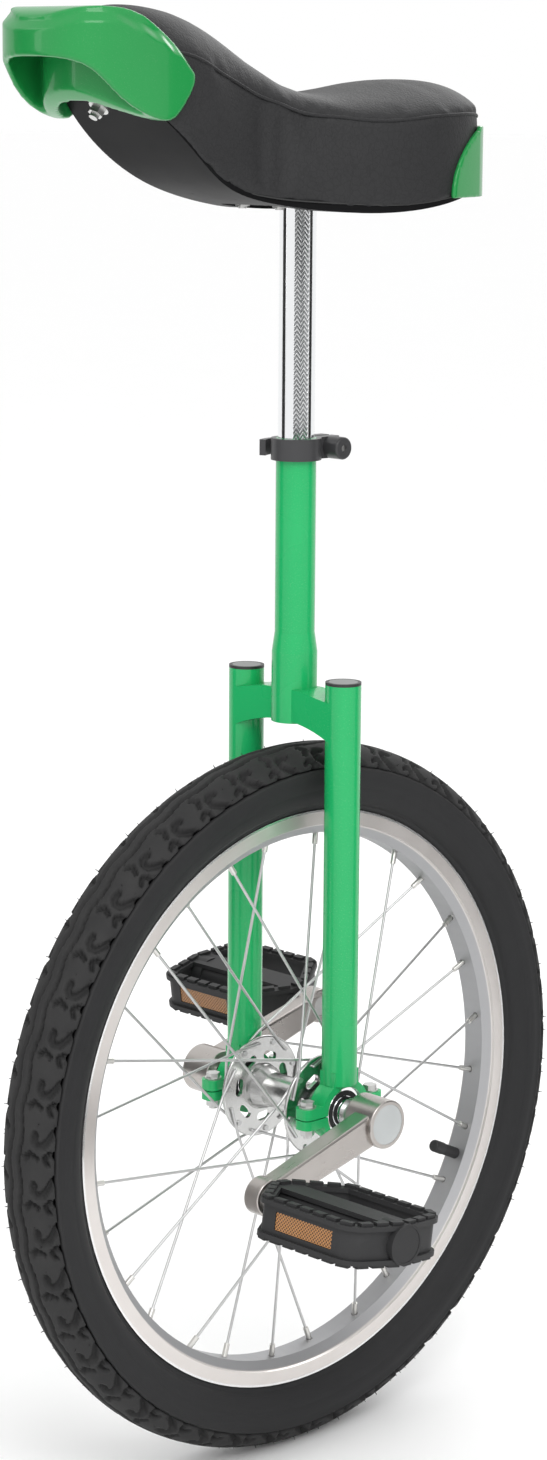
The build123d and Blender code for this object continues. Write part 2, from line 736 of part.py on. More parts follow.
# ========================================================== seat post and clamp
with BuildPart() as seat_post:
    with BuildSketch(upright(0, 0, post_top - post_length)):
        Circle(post_radius)
        Circle(post_radius - post_wall, mode=Mode.SUBTRACT)
    extrude(amount=post_length - seat_gap)
seat_post.part.label = "seat_post"
export_step(seat_post.part, "parts/seat_post.step")

collar_radius = seat_tube_radius + collar_wall
ear_end = seat_tube_radius + clamp_ear_reach
half_ears = clamp_slot / 2 + clamp_ear_width
with BuildPart() as clamp_collar:
    with BuildSketch(upright(0, 0, collar_bottom)):
        Circle(collar_radius)
        with Locations((0, ear_end / 2)):
            Rectangle(2 * half_ears, ear_end)
        Circle(seat_tube_radius + seat_gap, mode=Mode.SUBTRACT)
        with Locations((0, ear_end / 2 + 5)):
            Rectangle(clamp_slot, ear_end + 10, mode=Mode.SUBTRACT)
    extrude(amount=collar_height)
    with Locations(Plane(origin=(0, skewer_y, clamp_height), z_dir=(1, 0, 0))):
        Cylinder(skewer_radius + 0.15, 4 * half_ears, mode=Mode.SUBTRACT)
clamp_collar.part.label = "clamp_collar"
export_step(clamp_collar.part, "parts/clamp_collar.step")

# The skewer's barrel end carries the lever; its threaded end carries the nut.
pivot_x = -(half_ears + lever_head_width / 2 + 0.3)
nut_start = half_ears + 0.3
with BuildPart() as clamp_skewer:
    with BuildSketch(Plane(origin=(pivot_x, skewer_y, clamp_height), z_dir=(1, 0, 0))):
        Circle(skewer_radius)
    extrude(amount=nut_start + clamp_nut_length - 2.0 - pivot_x)
    with BuildSketch(upright(pivot_x, skewer_y, clamp_height - lever_height / 2 - 1.0)):
        Circle(lever_pin_radius)
    extrude(amount=lever_height + 2.0)
clamp_skewer.part.label = "clamp_skewer"
export_step(clamp_skewer.part, "parts/clamp_skewer.step")

with BuildPart() as clamp_nut:
    with BuildSketch(Plane(origin=(nut_start, skewer_y, clamp_height), z_dir=(1, 0, 0))):
        Circle(clamp_nut_radius)
        Circle(skewer_radius + running_gap, mode=Mode.SUBTRACT)
    extrude(amount=clamp_nut_length)
    nut_edge = clamp_nut.edges().filter_by(GeomType.CIRCLE).group_by(Axis.X)[-1].sort_by(SortBy.RADIUS)[-1]
    fillet(nut_edge, 1.5)
clamp_nut.part.label = "clamp_nut"
export_step(clamp_nut.part, "parts/clamp_nut.step")

lever_bend_radius = collar_radius + 4.0
with BuildPart() as clamp_lever:
    with BuildSketch(upright(pivot_x, skewer_y, clamp_height - lever_height / 2)):
        Circle(lever_head_width / 2 + 0.2)
    extrude(amount=lever_height)
    with BuildSketch(upright(0, 0, clamp_height - lever_height / 2)):
        with BuildLine():
            arm_outer = lever_bend_radius + lever_thickness
            Line((pivot_x + 2, skewer_y), (-lever_bend_radius, 6))
            ThreePointArc((-lever_bend_radius, 6), (-lever_bend_radius * cos(radians(14)), -6),
                          (-lever_bend_radius * cos(radians(36)), -lever_bend_radius * sin(radians(36))))
            Line((-lever_bend_radius * cos(radians(36)), -lever_bend_radius * sin(radians(36))),
                 (-arm_outer * cos(radians(33)), -arm_outer * sin(radians(33))))
            ThreePointArc((-arm_outer * cos(radians(33)), -arm_outer * sin(radians(33))),
                          (-arm_outer * cos(radians(10)), -4), (-arm_outer, 8))
            Line((-arm_outer, 8), (pivot_x - lever_head_width / 2, skewer_y))
            Line((pivot_x - lever_head_width / 2, skewer_y), (pivot_x + 2, skewer_y))
        make_face()
    extrude(amount=lever_height)
    with BuildSketch(upright(pivot_x, skewer_y, clamp_height - lever_height)):
        Circle(lever_pin_radius + running_gap)
    extrude(amount=2 * lever_height, mode=Mode.SUBTRACT)
    with BuildSketch(upright(pivot_x, skewer_y, clamp_height - skewer_radius - lever_play)):
        Circle(lever_head_width / 2 + lever_play)
    extrude(amount=2 * skewer_radius + 2 * lever_play, mode=Mode.SUBTRACT)
clamp_lever.part.label = "clamp_lever"
export_step(clamp_lever.part, "parts/clamp_lever.step")

# ==================================================================== saddle
# Plan outline of the pad: a narrow horn, a waist and a wide tail.
plan_points = [
    (0, -saddle_nose),
    (0.62 * nose_half_width, 10 - saddle_nose),
    (nose_half_width, 42 - saddle_nose),
    (waist_half_width, -88),
    (0.60 * tail_half_width + 0.40 * waist_half_width, -5),
    (tail_half_width, 0.53 * saddle_tail),
    (0.70 * tail_half_width, saddle_tail - 18),
    (0, saddle_tail),
]
# Side outlines, in (y, height over the saddle's floor): low in the middle, high at the horn.
under_points = [(-1.06 * saddle_nose, 97), (-0.813 * saddle_nose, 61), (-0.535 * saddle_nose, 20),
                (-0.237 * saddle_nose, 4.5), (0.14 * saddle_tail, 0), (0.64 * saddle_tail, 9),
                (1.2 * saddle_tail, 24)]
upper_points = [(-1.06 * saddle_nose, saddle_thickness + 38), (-0.96 * saddle_nose, saddle_thickness + 53),
                (-0.793 * saddle_nose, saddle_thickness + 57), (-0.571 * saddle_nose, saddle_thickness + 48),
                (-0.348 * saddle_nose, saddle_thickness + 27),
                (-0.111 * saddle_nose, saddle_thickness + 3.5), (0.07 * saddle_tail, saddle_thickness + 2),
                (0.43 * saddle_tail, saddle_thickness + 8),
                (0.72 * saddle_tail, saddle_thickness + 11), (0.97 * saddle_tail, saddle_thickness + 2),
                (1.2 * saddle_tail, saddle_thickness - 20)]


def drawn_in(curve, inset, marks):
    """Points along a curve that runs counter-clockwise, each moved inwards by an inset."""
    result = []
    for mark in marks:
        point = curve @ mark
        way = curve % mark
        result.append((point.X - inset * way.Y, point.Y + inset * way.X))
    return result


def plan_face(inset):
    """The pad's plan outline, drawn in by an inset."""
    around = plan_points + [(-x, y) for x, y in reversed(plan_points[1:-1])]
    with BuildLine():
        outline = Spline(around, periodic=True)
    with BuildSketch() as plan:
        with BuildLine():
            Spline(drawn_in(outline, inset, [index / 40 for index in range(40)]), periodic=True)
        make_face()
    return plan.sketch


def side_face(low_lift, high_lift):
    """The area between the two side outlines, each lifted by its own amount."""
    with BuildSketch() as outline:
        with BuildLine():
            bottom = Spline([(y, saddle_floor + z + low_lift) for y, z in under_points])
            top = Spline([(y, saddle_floor + z + high_lift) for y, z in upper_points])
            Line(bottom @ 0, top @ 0)
            Line(bottom @ 1, top @ 1)
        make_face()
    return outline.sketch


def saddle_block(inset, low_lift, high_lift):
    """The pad's plan outline, cut to the side outlines."""
    with BuildPart() as block:
        with BuildSketch(upright(0, 0, saddle_floor - 60)):
            add(plan_face(inset))
        extrude(amount=300)
        with BuildSketch(Plane(origin=(-2 * tail_half_width, 0, 0), x_dir=(0, 1, 0), z_dir=(1, 0, 0))):
            add(side_face(low_lift, high_lift))
        extrude(amount=4 * tail_half_width, mode=Mode.INTERSECT)
    return block.part


handle_bolt_plane = Plane(origin=(0, handle_bolt_setback - saddle_nose, saddle_floor + handle_bolt_height),
                          z_dir=(0, -0.6, -0.8))
tail_screw_start = saddle_tail + soft_gap + rear_bumper_wall
tail_screw_plane = Plane(origin=(0, tail_screw_start, saddle_floor + tail_screw_height),
                         x_dir=(1, 0, 0), z_dir=(0, 1, 0))
with BuildPart() as fixing_holes:
    with BuildSketch(handle_bolt_plane.offset(-handle_bolt_length)):
        Circle(bumper_bolt_radius + seat_gap)
    extrude(amount=2 * handle_bolt_length)
    with BuildSketch(tail_screw_plane):
        Circle(tail_screw_radius + seat_gap)
    extrude(amount=-tail_screw_length - 1.0)

pad_outside = saddle_block(0, cover_lift, 0)
pad_inside = saddle_block(cover_thickness, -30.0, -cover_thickness)
with BuildPart() as saddle_cover:
    add(pad_outside)
    add(pad_inside, mode=Mode.SUBTRACT)
    add(fixing_holes.part, mode=Mode.SUBTRACT)
saddle_cover.part.label = "saddle_cover"
export_step(saddle_cover.part, "parts/saddle_cover.step")

foam_block = saddle_block(cover_thickness + soft_gap, base_thickness + soft_gap, -cover_thickness - soft_gap)
with BuildPart() as saddle_foam:
    add(foam_block)
    add(fixing_holes.part, mode=Mode.SUBTRACT)
saddle_foam.part.label = "saddle_foam"
export_step(saddle_foam.part, "parts/saddle_foam.step")

# The base is a tray; the steel plate sits up inside it, against its floor.
stud_places = [(x * stud_spacing_x / 2, y * stud_spacing_y / 2) for x in (-1, 1) for y in (-1, 1)]
with BuildPart() as saddle_base:
    with BuildSketch(upright(0, 0, saddle_floor - 60)):
        add(plan_face(cover_thickness + soft_gap))
    extrude(amount=300)
    with BuildSketch(Plane(origin=(-2 * tail_half_width, 0, 0), x_dir=(0, 1, 0), z_dir=(1, 0, 0))):
        with BuildLine():
            under = Spline([(y, saddle_floor + z) for y, z in under_points])
            over = Spline([(y, saddle_floor + z + base_thickness) for y, z in under_points])
            Line(under @ 0, over @ 0)
            Line(under @ 1, over @ 1)
        make_face()
    extrude(amount=4 * tail_half_width, mode=Mode.INTERSECT)
    with BuildSketch(upright(0, 0, plate_top + seat_gap)):
        RectangleRounded(plate_width + 4.0, plate_length + 4.0, 8.0)
    extrude(amount=-60.0, mode=Mode.SUBTRACT)
    add(fixing_holes.part, mode=Mode.SUBTRACT)
saddle_base.part.label = "saddle_base"
export_step(saddle_base.part, "parts/saddle_base.step")

with BuildPart() as saddle_plate:
    with BuildSketch(upright(0, 0, plate_top)):
        RectangleRounded(plate_width, plate_length, 6.0)
        with Locations(*stud_places):
            Circle(stud_radius + 0.3, mode=Mode.SUBTRACT)
    extrude(amount=-plate_thickness)
saddle_plate.part.label = "saddle_plate"
export_step(saddle_plate.part, "parts/saddle_plate.step")

with BuildPart() as saddle_studs:
    for x, y in stud_places:
        with BuildSketch(upright(x, y, plate_top + seat_gap)):
            Circle(stud_radius)
        extrude(amount=-plate_thickness - stud_nut_height - 1.5)
saddle_studs.part.label = "saddle_studs"
export_step(saddle_studs.part, "parts/saddle_studs.step")

with BuildPart() as saddle_nuts:
    for x, y in stud_places:
        with BuildSketch(upright(x, y, plate_top - plate_thickness - seat_gap)):
            RegularPolygon(stud_nut_radius, 6)
            Circle(stud_radius + seat_gap, mode=Mode.SUBTRACT)
        extrude(amount=-stud_nut_height)
saddle_nuts.part.label = "saddle_nuts"
export_step(saddle_nuts.part, "parts/saddle_nuts.step")

# =================================================================== bumpers
# The front bumper caps the horn and hangs a carrying handle in front of it.


def bumper_plan(inset):
    """Plan outline of the front bumper: a broad, blunt nose and straight wings."""
    right_half = [(bumper_half_width, -bumper_wing_end), (bumper_half_width - 1.0, 42 - bumper_reach),
                  (0.78 * bumper_half_width, 15 - bumper_reach), (0, -bumper_reach)]
    around = [(-x, y) for x, y in right_half] + right_half[-2::-1]
    with BuildLine():
        outline = Spline(around)
    with BuildSketch() as plan:
        with BuildLine():
            nose = Spline(drawn_in(outline, inset, [index / 24 for index in range(25)]))
            Line(nose @ 1, nose @ 0)
        make_face()
    return plan.sketch


# Side outline of the front bumper, in (y behind the pad's front end, height over the floor).
bumper_top = [(wing_length, 92), (44, 106), (30, 117), (8, 129), (-14, 132), (-handle_depth - 2, 122)]
bumper_foot = [(-handle_depth - 2, 103), (-handle_depth + 8, 99), (-10, 80), (20, 63), (33, 61.5), (49, 76)]


def bumper_side(drop):
    """Side outline of the front bumper; with a drop, of the room inside it, open below."""
    top = [(y - saddle_nose, saddle_floor + z - drop) for y, z in bumper_top]
    foot = [(y - saddle_nose, saddle_floor + z) for y, z in bumper_foot]
    with BuildSketch() as outline:
        with BuildLine():
            if drop:
                crest = Spline(top)
                Polyline(crest @ 1, (top[-1][0], saddle_floor), (top[0][0], saddle_floor), crest @ 0)
            else:
                Spline(top + foot, periodic=True)
        make_face()
    return outline.sketch


side_start = Plane(origin=(-2 * bumper_half_width, 0, 0), x_dir=(0, 1, 0), z_dir=(1, 0, 0))

pad_clearance = saddle_block(-soft_gap, -40.0, soft_gap)
pad_hollow = saddle_block(-inner_loop_gap - bumper_wall, -60.0, 40.0)
with BuildPart() as handle_pocket:
    with BuildSketch(upright(0, 0, saddle_floor)):
        add(bumper_plan(bumper_wall))
    extrude(amount=150)
    with BuildSketch(side_start):
        add(bumper_side(bumper_wall))
    extrude(amount=4 * bumper_half_width, mode=Mode.INTERSECT)
    add(pad_hollow, mode=Mode.SUBTRACT)
with BuildPart() as front_bumper:
    with BuildSketch(upright(0, 0, saddle_floor)):
        add(bumper_plan(0))
    extrude(amount=150)
    with BuildSketch(side_start):
        add(bumper_side(0))
    extrude(amount=4 * bumper_half_width, mode=Mode.INTERSECT)
    add(handle_pocket.part, mode=Mode.SUBTRACT)
    add(pad_clearance, mode=Mode.SUBTRACT)
front_bumper.part.label = "front_bumper"
export_step(front_bumper.part, "parts/front_bumper.step")

with BuildPart() as rear_bumper:
    with BuildSketch(upright(0, 0, saddle_floor + rear_bumper_foot)):
        add(plan_face(-soft_gap - rear_bumper_wall))
        add(plan_face(-soft_gap), mode=Mode.SUBTRACT)
    extrude(amount=rear_bumper_height)
    with BuildSketch(Plane(origin=(-2 * tail_half_width, 0, 0), x_dir=(0, 1, 0), z_dir=(1, 0, 0))):
        with BuildLine():
            edge_start = saddle_tail - rear_bumper_wrap
            edge_foot = saddle_floor + rear_bumper_foot
            edge_top = edge_foot + rear_bumper_height
            edge = Spline((edge_start, edge_foot), (edge_start + 0.10 * rear_bumper_lean, edge_foot + 18),
                          (edge_start + 0.45 * rear_bumper_lean, edge_top - 12),
                          (edge_start + rear_bumper_lean, edge_top))
            Polyline(edge @ 1, (2 * saddle_tail, edge_top), (2 * saddle_tail, edge_foot), edge @ 0)
        make_face()
    extrude(amount=4 * tail_half_width, mode=Mode.INTERSECT)
    with BuildSketch(tail_screw_plane.offset(5.0)):
        Circle(tail_screw_radius + 0.2)
    extrude(amount=-rear_bumper_wall - 10.0, mode=Mode.SUBTRACT)
rear_bumper.part.label = "rear_bumper"
export_step(rear_bumper.part, "parts/rear_bumper.step")

with BuildPart() as handle_bolt:
    with BuildSketch(handle_bolt_plane.offset(1.0 - handle_bolt_length)):
        Circle(bumper_bolt_radius)
    extrude(amount=handle_bolt_length + 11.0)
    with BuildSketch(handle_bolt_plane.offset(3.0)):
        Circle(bumper_bolt_head_radius + 1.8)
    extrude(amount=1.2)
    with BuildSketch(handle_bolt_plane.offset(4.2)):
        RegularPolygon(bumper_bolt_head_radius, 6)
    extrude(amount=5.0)
handle_bolt.part.label = "handle_bolt"
export_step(handle_bolt.part, "parts/handle_bolt.step")

with BuildPart() as tail_screw:
    with BuildSketch(tail_screw_plane.offset(seat_gap)):
        Circle(2.2 * tail_screw_radius)
    extrude(amount=2.0)
    with BuildSketch(tail_screw_plane.offset(seat_gap)):
        Circle(tail_screw_radius)
    extrude(amount=-tail_screw_length)
tail_screw.part.label = "tail_screw"
export_step(tail_screw.part, "parts/tail_screw.step")

# ============================================================= cranks and caps


def crank_reach(side):
    """Unit vector from the axle along a crank; the two cranks are opposite."""
    turn = radians(crank_angle)
    return Vector(0, -side * cos(turn), -side * sin(turn))


def crank_face(side, x):
    """Plane square to the axle; its own x runs along the crank."""
    return Plane(origin=(side * x, 0, axle_height), x_dir=crank_reach(side), z_dir=(side, 0, 0))


eye_inner_face = crank_eye_outer_face - crank_eye_thickness
arm_outer_boss_face = crank_arm_boss_face + crank_arm_thickness
for side_name, side in sides.items():
    reach = crank_reach(side)
    with BuildPart() as crank:
        with BuildSketch(crank_face(side, crank_inner_face)):
            Circle(crank_arm_boss_half)
            with Locations((crank_length, 0)):
                Circle(crank_arm_eye_half)
            make_hull()
        extrude(amount=crank_eye_outer_face - crank_inner_face)
        edgeways = reach.cross(Vector(side, 0, 0))
        with BuildSketch(Plane(origin=(0, 0, axle_height), x_dir=reach, z_dir=edgeways)):
            with BuildLine():
                Polyline((-crank_arm_boss_half, crank_arm_boss_face), (crank_length, eye_inner_face),
                         (crank_length + crank_eye_radius, eye_inner_face),
                         (crank_length + crank_eye_radius, crank_eye_outer_face),
                         (crank_length, crank_eye_outer_face),
                         (-crank_arm_boss_half, arm_outer_boss_face), close=True)
            make_face()
        extrude(amount=2 * crank_boss_radius, both=True, mode=Mode.INTERSECT)
        arm_edges = crank.edges().filter_by(GeomType.LINE).filter_by(
            lambda e: e.length > 0.7 * crank_length)
        fillet(arm_edges, 2.0)
        with BuildSketch(crank_face(side, crank_inner_face)):
            Circle(crank_boss_radius)
        extrude(amount=crank_boss_width)
        with BuildSketch(crank_face(side, eye_inner_face)):
            with Locations((crank_length, 0)):
                Circle(crank_eye_radius)
        extrude(amount=crank_eye_thickness)
        round_edges = crank.edges().filter_by(GeomType.CIRCLE).filter_by(
            lambda e: e.radius > crank_eye_radius - 0.01)
        fillet(round_edges, 1.2)
        with BuildSketch(crank_face(side, shoulder_x)):
            Rectangle(taper_across + 2 * seat_gap, taper_across + 2 * seat_gap)
        extrude(amount=taper_length + 0.5, taper=taper_angle, mode=Mode.SUBTRACT)
        with BuildSketch(crank_face(side, shoulder_x + taper_length + 0.2)):
            Circle(dust_cap_radius - 3.0)
        extrude(amount=2 * crank_boss_width, mode=Mode.SUBTRACT)
        with BuildSketch(crank_face(side, crank_outer_face - dust_cap_thickness - 0.3)):
            Circle(dust_cap_radius + seat_gap)
        extrude(amount=2 * dust_cap_thickness, mode=Mode.SUBTRACT)
        with BuildSketch(crank_face(side, crank_inner_face)):
            with Locations((crank_length, 0)):
                Circle(spindle_thread_radius + seat_gap)
        extrude(amount=2 * crank_boss_width, mode=Mode.SUBTRACT)
    crank.part.label = f"crank_{side_name}"
    export_step(crank.part, f"parts/crank_{side_name}.step")

bolt_seat = shoulder_x + taper_length + 0.3
with BuildPart() as crank_bolts:
    for side in sides.values():
        with BuildSketch(crank_face(side, bolt_seat)):
            Circle(crank_bolt_head_radius + 1.5)
        extrude(amount=1.2)
        with BuildSketch(crank_face(side, bolt_seat + 1.2)):
            RegularPolygon(crank_bolt_head_radius, 6)
        extrude(amount=crank_outer_face - dust_cap_thickness - 0.6 - bolt_seat - 1.2)
        with BuildSketch(crank_face(side, bolt_seat)):
            Circle(crank_bolt_radius)
        extrude(amount=-12.0)
crank_bolts.part.label = "crank_bolts"
export_step(crank_bolts.part, "parts/crank_bolts.step")

with BuildPart() as crank_dust_caps:
    for side in sides.values():
        with BuildSketch(crank_face(side, crank_outer_face - dust_cap_thickness - 0.2)):
            Circle(dust_cap_radius)
        extrude(amount=dust_cap_thickness)
crank_dust_caps.part.label = "crank_dust_caps"
export_step(crank_dust_caps.part, "parts/crank_dust_caps.step")

# ==================================================================== pedals
plate_top_height = tread_half - tread_block_height
plate_bottom_height = plate_top_height - tread_plate
cup_radius = pedal_cap_radius + pedal_cup_wall
cup_start = pedal_length - pedal_cup_depth


def pedal_plane(side, along=0.0):
    """Plane of a pedal's tread through its spindle, from its inner end; its own x runs outwards."""
    tilt = radians(pedal_tilt)
    eye = crank_reach(side) * crank_length
    return Plane(origin=(side * (pedal_inner_end + along), eye.Y, axle_height + eye.Z),
                 x_dir=(side, 0, 0), z_dir=(0, side * sin(tilt), cos(tilt)))


def spindle_plane(side, along):
    """Plane square to a pedal's spindle, a distance outwards from the pedal's inner end."""
    tread = pedal_plane(side, along)
    return Plane(origin=tread.origin, x_dir=tread.y_dir, z_dir=tread.x_dir)


def pedal_outline(inset):
    """Plan outline of the pedal: a narrow inner end, parallel sides and a blunt outer end."""
    with BuildSketch() as outline:
        with Locations((8, 6), (8, -6)):
            Circle(8)
        with Locations((32, pedal_width / 2 - 10), (32, 10 - pedal_width / 2)):
            Circle(10)
        with Locations((pedal_length - 22, pedal_width / 2 - 16), (pedal_length - 22, 16 - pedal_width / 2)):
            Circle(16)
        with Locations((pedal_length - 14, 0)):
            Circle(14)
        make_hull()
        if inset:
            offset(amount=-inset, mode=Mode.REPLACE)
    return outline.sketch


def tread_block_places():
    """Middles and directions of the tread blocks, evenly spaced round the rail."""
    track = pedal_outline(tread_rail / 2).faces()[0].outer_wire()
    result = []
    for index in range(tread_blocks):
        share = (index + 0.5) / tread_blocks
        point = track @ share
        along = track % share
        result.append((point.X, point.Y, degrees(atan2(along.Y, along.X))))
    return result


block_places = tread_block_places()
for side_name, side in sides.items():
    middle = pedal_plane(side)
    with BuildPart() as pedal_body:
        for height in (plate_bottom_height, -plate_top_height):
            with BuildSketch(middle.offset(height)):
                add(pedal_outline(0))
                add(pedal_outline(tread_rail), mode=Mode.SUBTRACT)
                with Locations((pedal_length / 2, 0)):
                    Rectangle(pedal_length - 2 * tread_rail + 4, 2 * pedal_barrel_radius - 4)
            extrude(amount=tread_plate)
        with BuildSketch(middle.offset(-plate_bottom_height)):
            add(pedal_outline(pedal_side_inset))
            add(pedal_outline(pedal_side_inset + pedal_side_wall), mode=Mode.SUBTRACT)
        extrude(amount=2 * plate_bottom_height)
        for height, way in ((plate_top_height, 1), (-plate_top_height, -1)):
            with BuildSketch(middle.offset(height)):
                for x, y, angle in block_places:
                    with Locations((x, y)):
                        Rectangle(tread_block_length, tread_block_width, rotation=angle)
            extrude(amount=way * tread_block_height)
        with BuildSketch(spindle_plane(side, 0)):
            Circle(pedal_barrel_radius)
        extrude(amount=cup_start + 2)
        with BuildSketch(spindle_plane(side, cup_start)):
            Circle(cup_radius)
        extrude(amount=pedal_cup_depth)
        with BuildSketch(spindle_plane(side, -1)):
            Circle(pedal_bush_radius + seat_gap)
        extrude(amount=pedal_length, mode=Mode.SUBTRACT)
        with BuildSketch(spindle_plane(side, cup_start)):
            Circle(pedal_cap_radius + seat_gap)
        extrude(amount=pedal_cup_depth + 5, mode=Mode.SUBTRACT)
        for way in (1, -1):
            wall_face = pedal_width / 2 - pedal_side_inset
            window = Plane(origin=middle.from_local_coords((reflector_offset, way * wall_face, 0)),
                           x_dir=middle.x_dir, z_dir=middle.y_dir * way)
            with BuildSketch(window.offset(-reflector_thickness)):
                Rectangle(reflector_length + 0.4, reflector_height + 0.4)
            extrude(amount=2 * reflector_thickness, mode=Mode.SUBTRACT)
    pedal_body.part.label = f"pedal_body_{side_name}"
    export_step(pedal_body.part, f"parts/pedal_body_{side_name}.step")

    with BuildPart() as reflectors:
        for way in (1, -1):
            wall_face = pedal_width / 2 - pedal_side_inset
            window = Plane(origin=middle.from_local_coords((reflector_offset, way * wall_face, 0)),
                           x_dir=middle.x_dir, z_dir=middle.y_dir * way)
            with BuildSketch(window.offset(seat_gap - reflector_thickness)):
                Rectangle(reflector_length, reflector_height)
            extrude(amount=reflector_thickness - 0.5)
    reflectors.part.label = f"pedal_reflectors_{side_name}"
    export_step(reflectors.part, f"parts/pedal_reflectors_{side_name}.step")

    with BuildPart() as bushes:
        for along in (1.0, cup_start - pedal_bush_length - 1.0):
            with BuildSketch(spindle_plane(side, along)):
                Circle(pedal_bush_radius)
                Circle(spindle_shaft_radius + running_gap, mode=Mode.SUBTRACT)
            extrude(amount=pedal_bush_length)
    bushes.part.label = f"pedal_bushes_{side_name}"
    export_step(bushes.part, f"parts/pedal_bushes_{side_name}.step")

    with BuildPart() as end_cap:
        with BuildSketch(spindle_plane(side, pedal_length - pedal_cap_thickness)):
            Circle(pedal_cap_radius)
        extrude(amount=pedal_cap_thickness - 0.3)
    end_cap.part.label = f"pedal_end_cap_{side_name}"
    export_step(end_cap.part, f"parts/pedal_end_cap_{side_name}.step")

    spindle_end = cup_start + spindle_nut_height + 2.0
    collar_start = -pedal_gap + seat_gap
    with BuildPart() as spindle:
        with BuildSketch(spindle_plane(side, -pedal_gap - crank_eye_thickness)):
            Circle(spindle_thread_radius)
        extrude(amount=crank_eye_thickness + seat_gap)
        with BuildSketch(spindle_plane(side, collar_start)):
            Circle(spindle_collar_radius)
        extrude(amount=spindle_collar_length)
        with BuildSketch(spindle_plane(side, collar_start)):
            Circle(spindle_shaft_radius)
        extrude(amount=spindle_end - collar_start)
        with BuildSketch(spindle_plane(side, cup_start + 0.5)):
            RegularPolygon(spindle_nut_radius, 6)
        extrude(amount=spindle_nut_height)
    spindle.part.label = f"pedal_spindle_{side_name}"
    export_step(spindle.part, f"parts/pedal_spindle_{side_name}.step")
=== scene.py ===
"""Looks of the unicycle: tyre tread, padded saddle, moulded bumpers, finishes and the studio."""
import json
from math import cos, pi, radians, sin, tau

import bmesh
import bpy
from bpy.props import FloatProperty, FloatVectorProperty, IntProperty, PointerProperty
from mathutils import Matrix, Vector
from mathutils.bvhtree import BVHTree


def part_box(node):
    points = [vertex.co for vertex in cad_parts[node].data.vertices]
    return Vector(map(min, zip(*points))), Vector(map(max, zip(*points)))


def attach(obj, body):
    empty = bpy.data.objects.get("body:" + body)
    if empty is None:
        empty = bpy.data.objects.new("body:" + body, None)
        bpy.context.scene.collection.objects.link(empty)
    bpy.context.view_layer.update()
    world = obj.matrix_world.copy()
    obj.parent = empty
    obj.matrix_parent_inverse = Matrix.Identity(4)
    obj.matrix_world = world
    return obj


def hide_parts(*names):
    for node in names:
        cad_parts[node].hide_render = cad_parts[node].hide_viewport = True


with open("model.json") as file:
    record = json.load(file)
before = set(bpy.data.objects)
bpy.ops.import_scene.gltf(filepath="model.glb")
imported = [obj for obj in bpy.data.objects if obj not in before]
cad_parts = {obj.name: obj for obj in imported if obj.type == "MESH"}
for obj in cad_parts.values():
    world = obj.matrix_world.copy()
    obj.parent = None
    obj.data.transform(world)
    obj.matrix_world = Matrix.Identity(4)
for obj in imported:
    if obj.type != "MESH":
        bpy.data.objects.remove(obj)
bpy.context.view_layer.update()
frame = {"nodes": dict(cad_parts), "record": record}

bl_info = {
    "name": "Unicycle looks",
    "version": (1, 0, 0),
    "blender": (4, 5, 0),
    "location": "3D view > Sidebar > Unicycle",
    "description": "Makes the tyre, saddle, bumpers, finishes and studio of a unicycle",
    "category": "Object",
}

nodes = frame["nodes"]
tyre_low, tyre_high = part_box("tyre")
axle_height = (tyre_low.z + tyre_high.z) / 2
tyre_radius = (tyre_high.z - tyre_low.z) / 2
tyre_half_width = (tyre_high.x - tyre_low.x) / 2
rim_low, rim_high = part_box("rim")
rim_radius = (rim_high.z - rim_low.z) / 2
mm = 0.001


# ------------------------------------------------------------------ settings
class FinishSettings(bpy.types.PropertyGroup):
    """Colours of the painted, moulded and sewn pieces."""
    frame_colour: FloatVectorProperty(
        name="Frame paint", description="Gloss paint of the fork and seat tube",
        subtype="COLOR", size=4, min=0, max=1, default=(0.012, 0.400, 0.120, 1))
    bumper_colour: FloatVectorProperty(
        name="Bumpers", description="Glossy plastic of the saddle's bumpers",
        subtype="COLOR", size=4, min=0, max=1, default=(0.011, 0.250, 0.055, 1))
    vinyl_colour: FloatVectorProperty(
        name="Saddle cover", description="Grained vinyl of the saddle",
        subtype="COLOR", size=4, min=0, max=1, default=(0.019, 0.019, 0.020, 1))
    tyre_colour: FloatVectorProperty(
        name="Tyre", description="Rubber of the tyre",
        subtype="COLOR", size=4, min=0, max=1, default=(0.016, 0.016, 0.017, 1))
    pedal_colour: FloatVectorProperty(
        name="Pedals", description="Moulded plastic of the pedals",
        subtype="COLOR", size=4, min=0, max=1, default=(0.026, 0.026, 0.027, 1))
    reflector_colour: FloatVectorProperty(
        name="Reflectors", description="Amber of the pedal reflectors",
        subtype="COLOR", size=4, min=0, max=1, default=(0.30, 0.130, 0.035, 1))


class TyreSettings(bpy.types.PropertyGroup):
    """Sizes of the tread."""
    pitches: IntProperty(
        name="Pitches", description="How often the tread pattern repeats round the tyre",
        min=12, max=90, default=46)
    groove_depth: FloatProperty(
        name="Groove depth", description="Depth of the tread's grooves",
        unit="LENGTH", min=0, max=0.006, default=0.0044)
    groove_width: FloatProperty(
        name="Groove width", description="Width of the main grooves",
        unit="LENGTH", min=0.001, max=0.008, default=0.0042)
    hair_length: FloatProperty(
        name="Hair length", description="Length of the hairs that moulding leaves on the shoulders",
        unit="LENGTH", min=0.0005, max=0.006, default=0.0032)


class SaddleSettings(bpy.types.PropertyGroup):
    """Shape of the padded saddle."""
    voxel: FloatProperty(
        name="Cloth grid", description="Edge length of the cloth mesh",
        unit="LENGTH", min=0.003, max=0.01, default=0.0045)
    swell: FloatProperty(
        name="Swell", description="How far the padding may push the cover out",
        unit="LENGTH", min=0, max=0.02, default=0.0045)
    piping: FloatProperty(
        name="Piping", description="Radius of the piping round the top panel",
        unit="LENGTH", min=0.0004, max=0.004, default=0.0012)


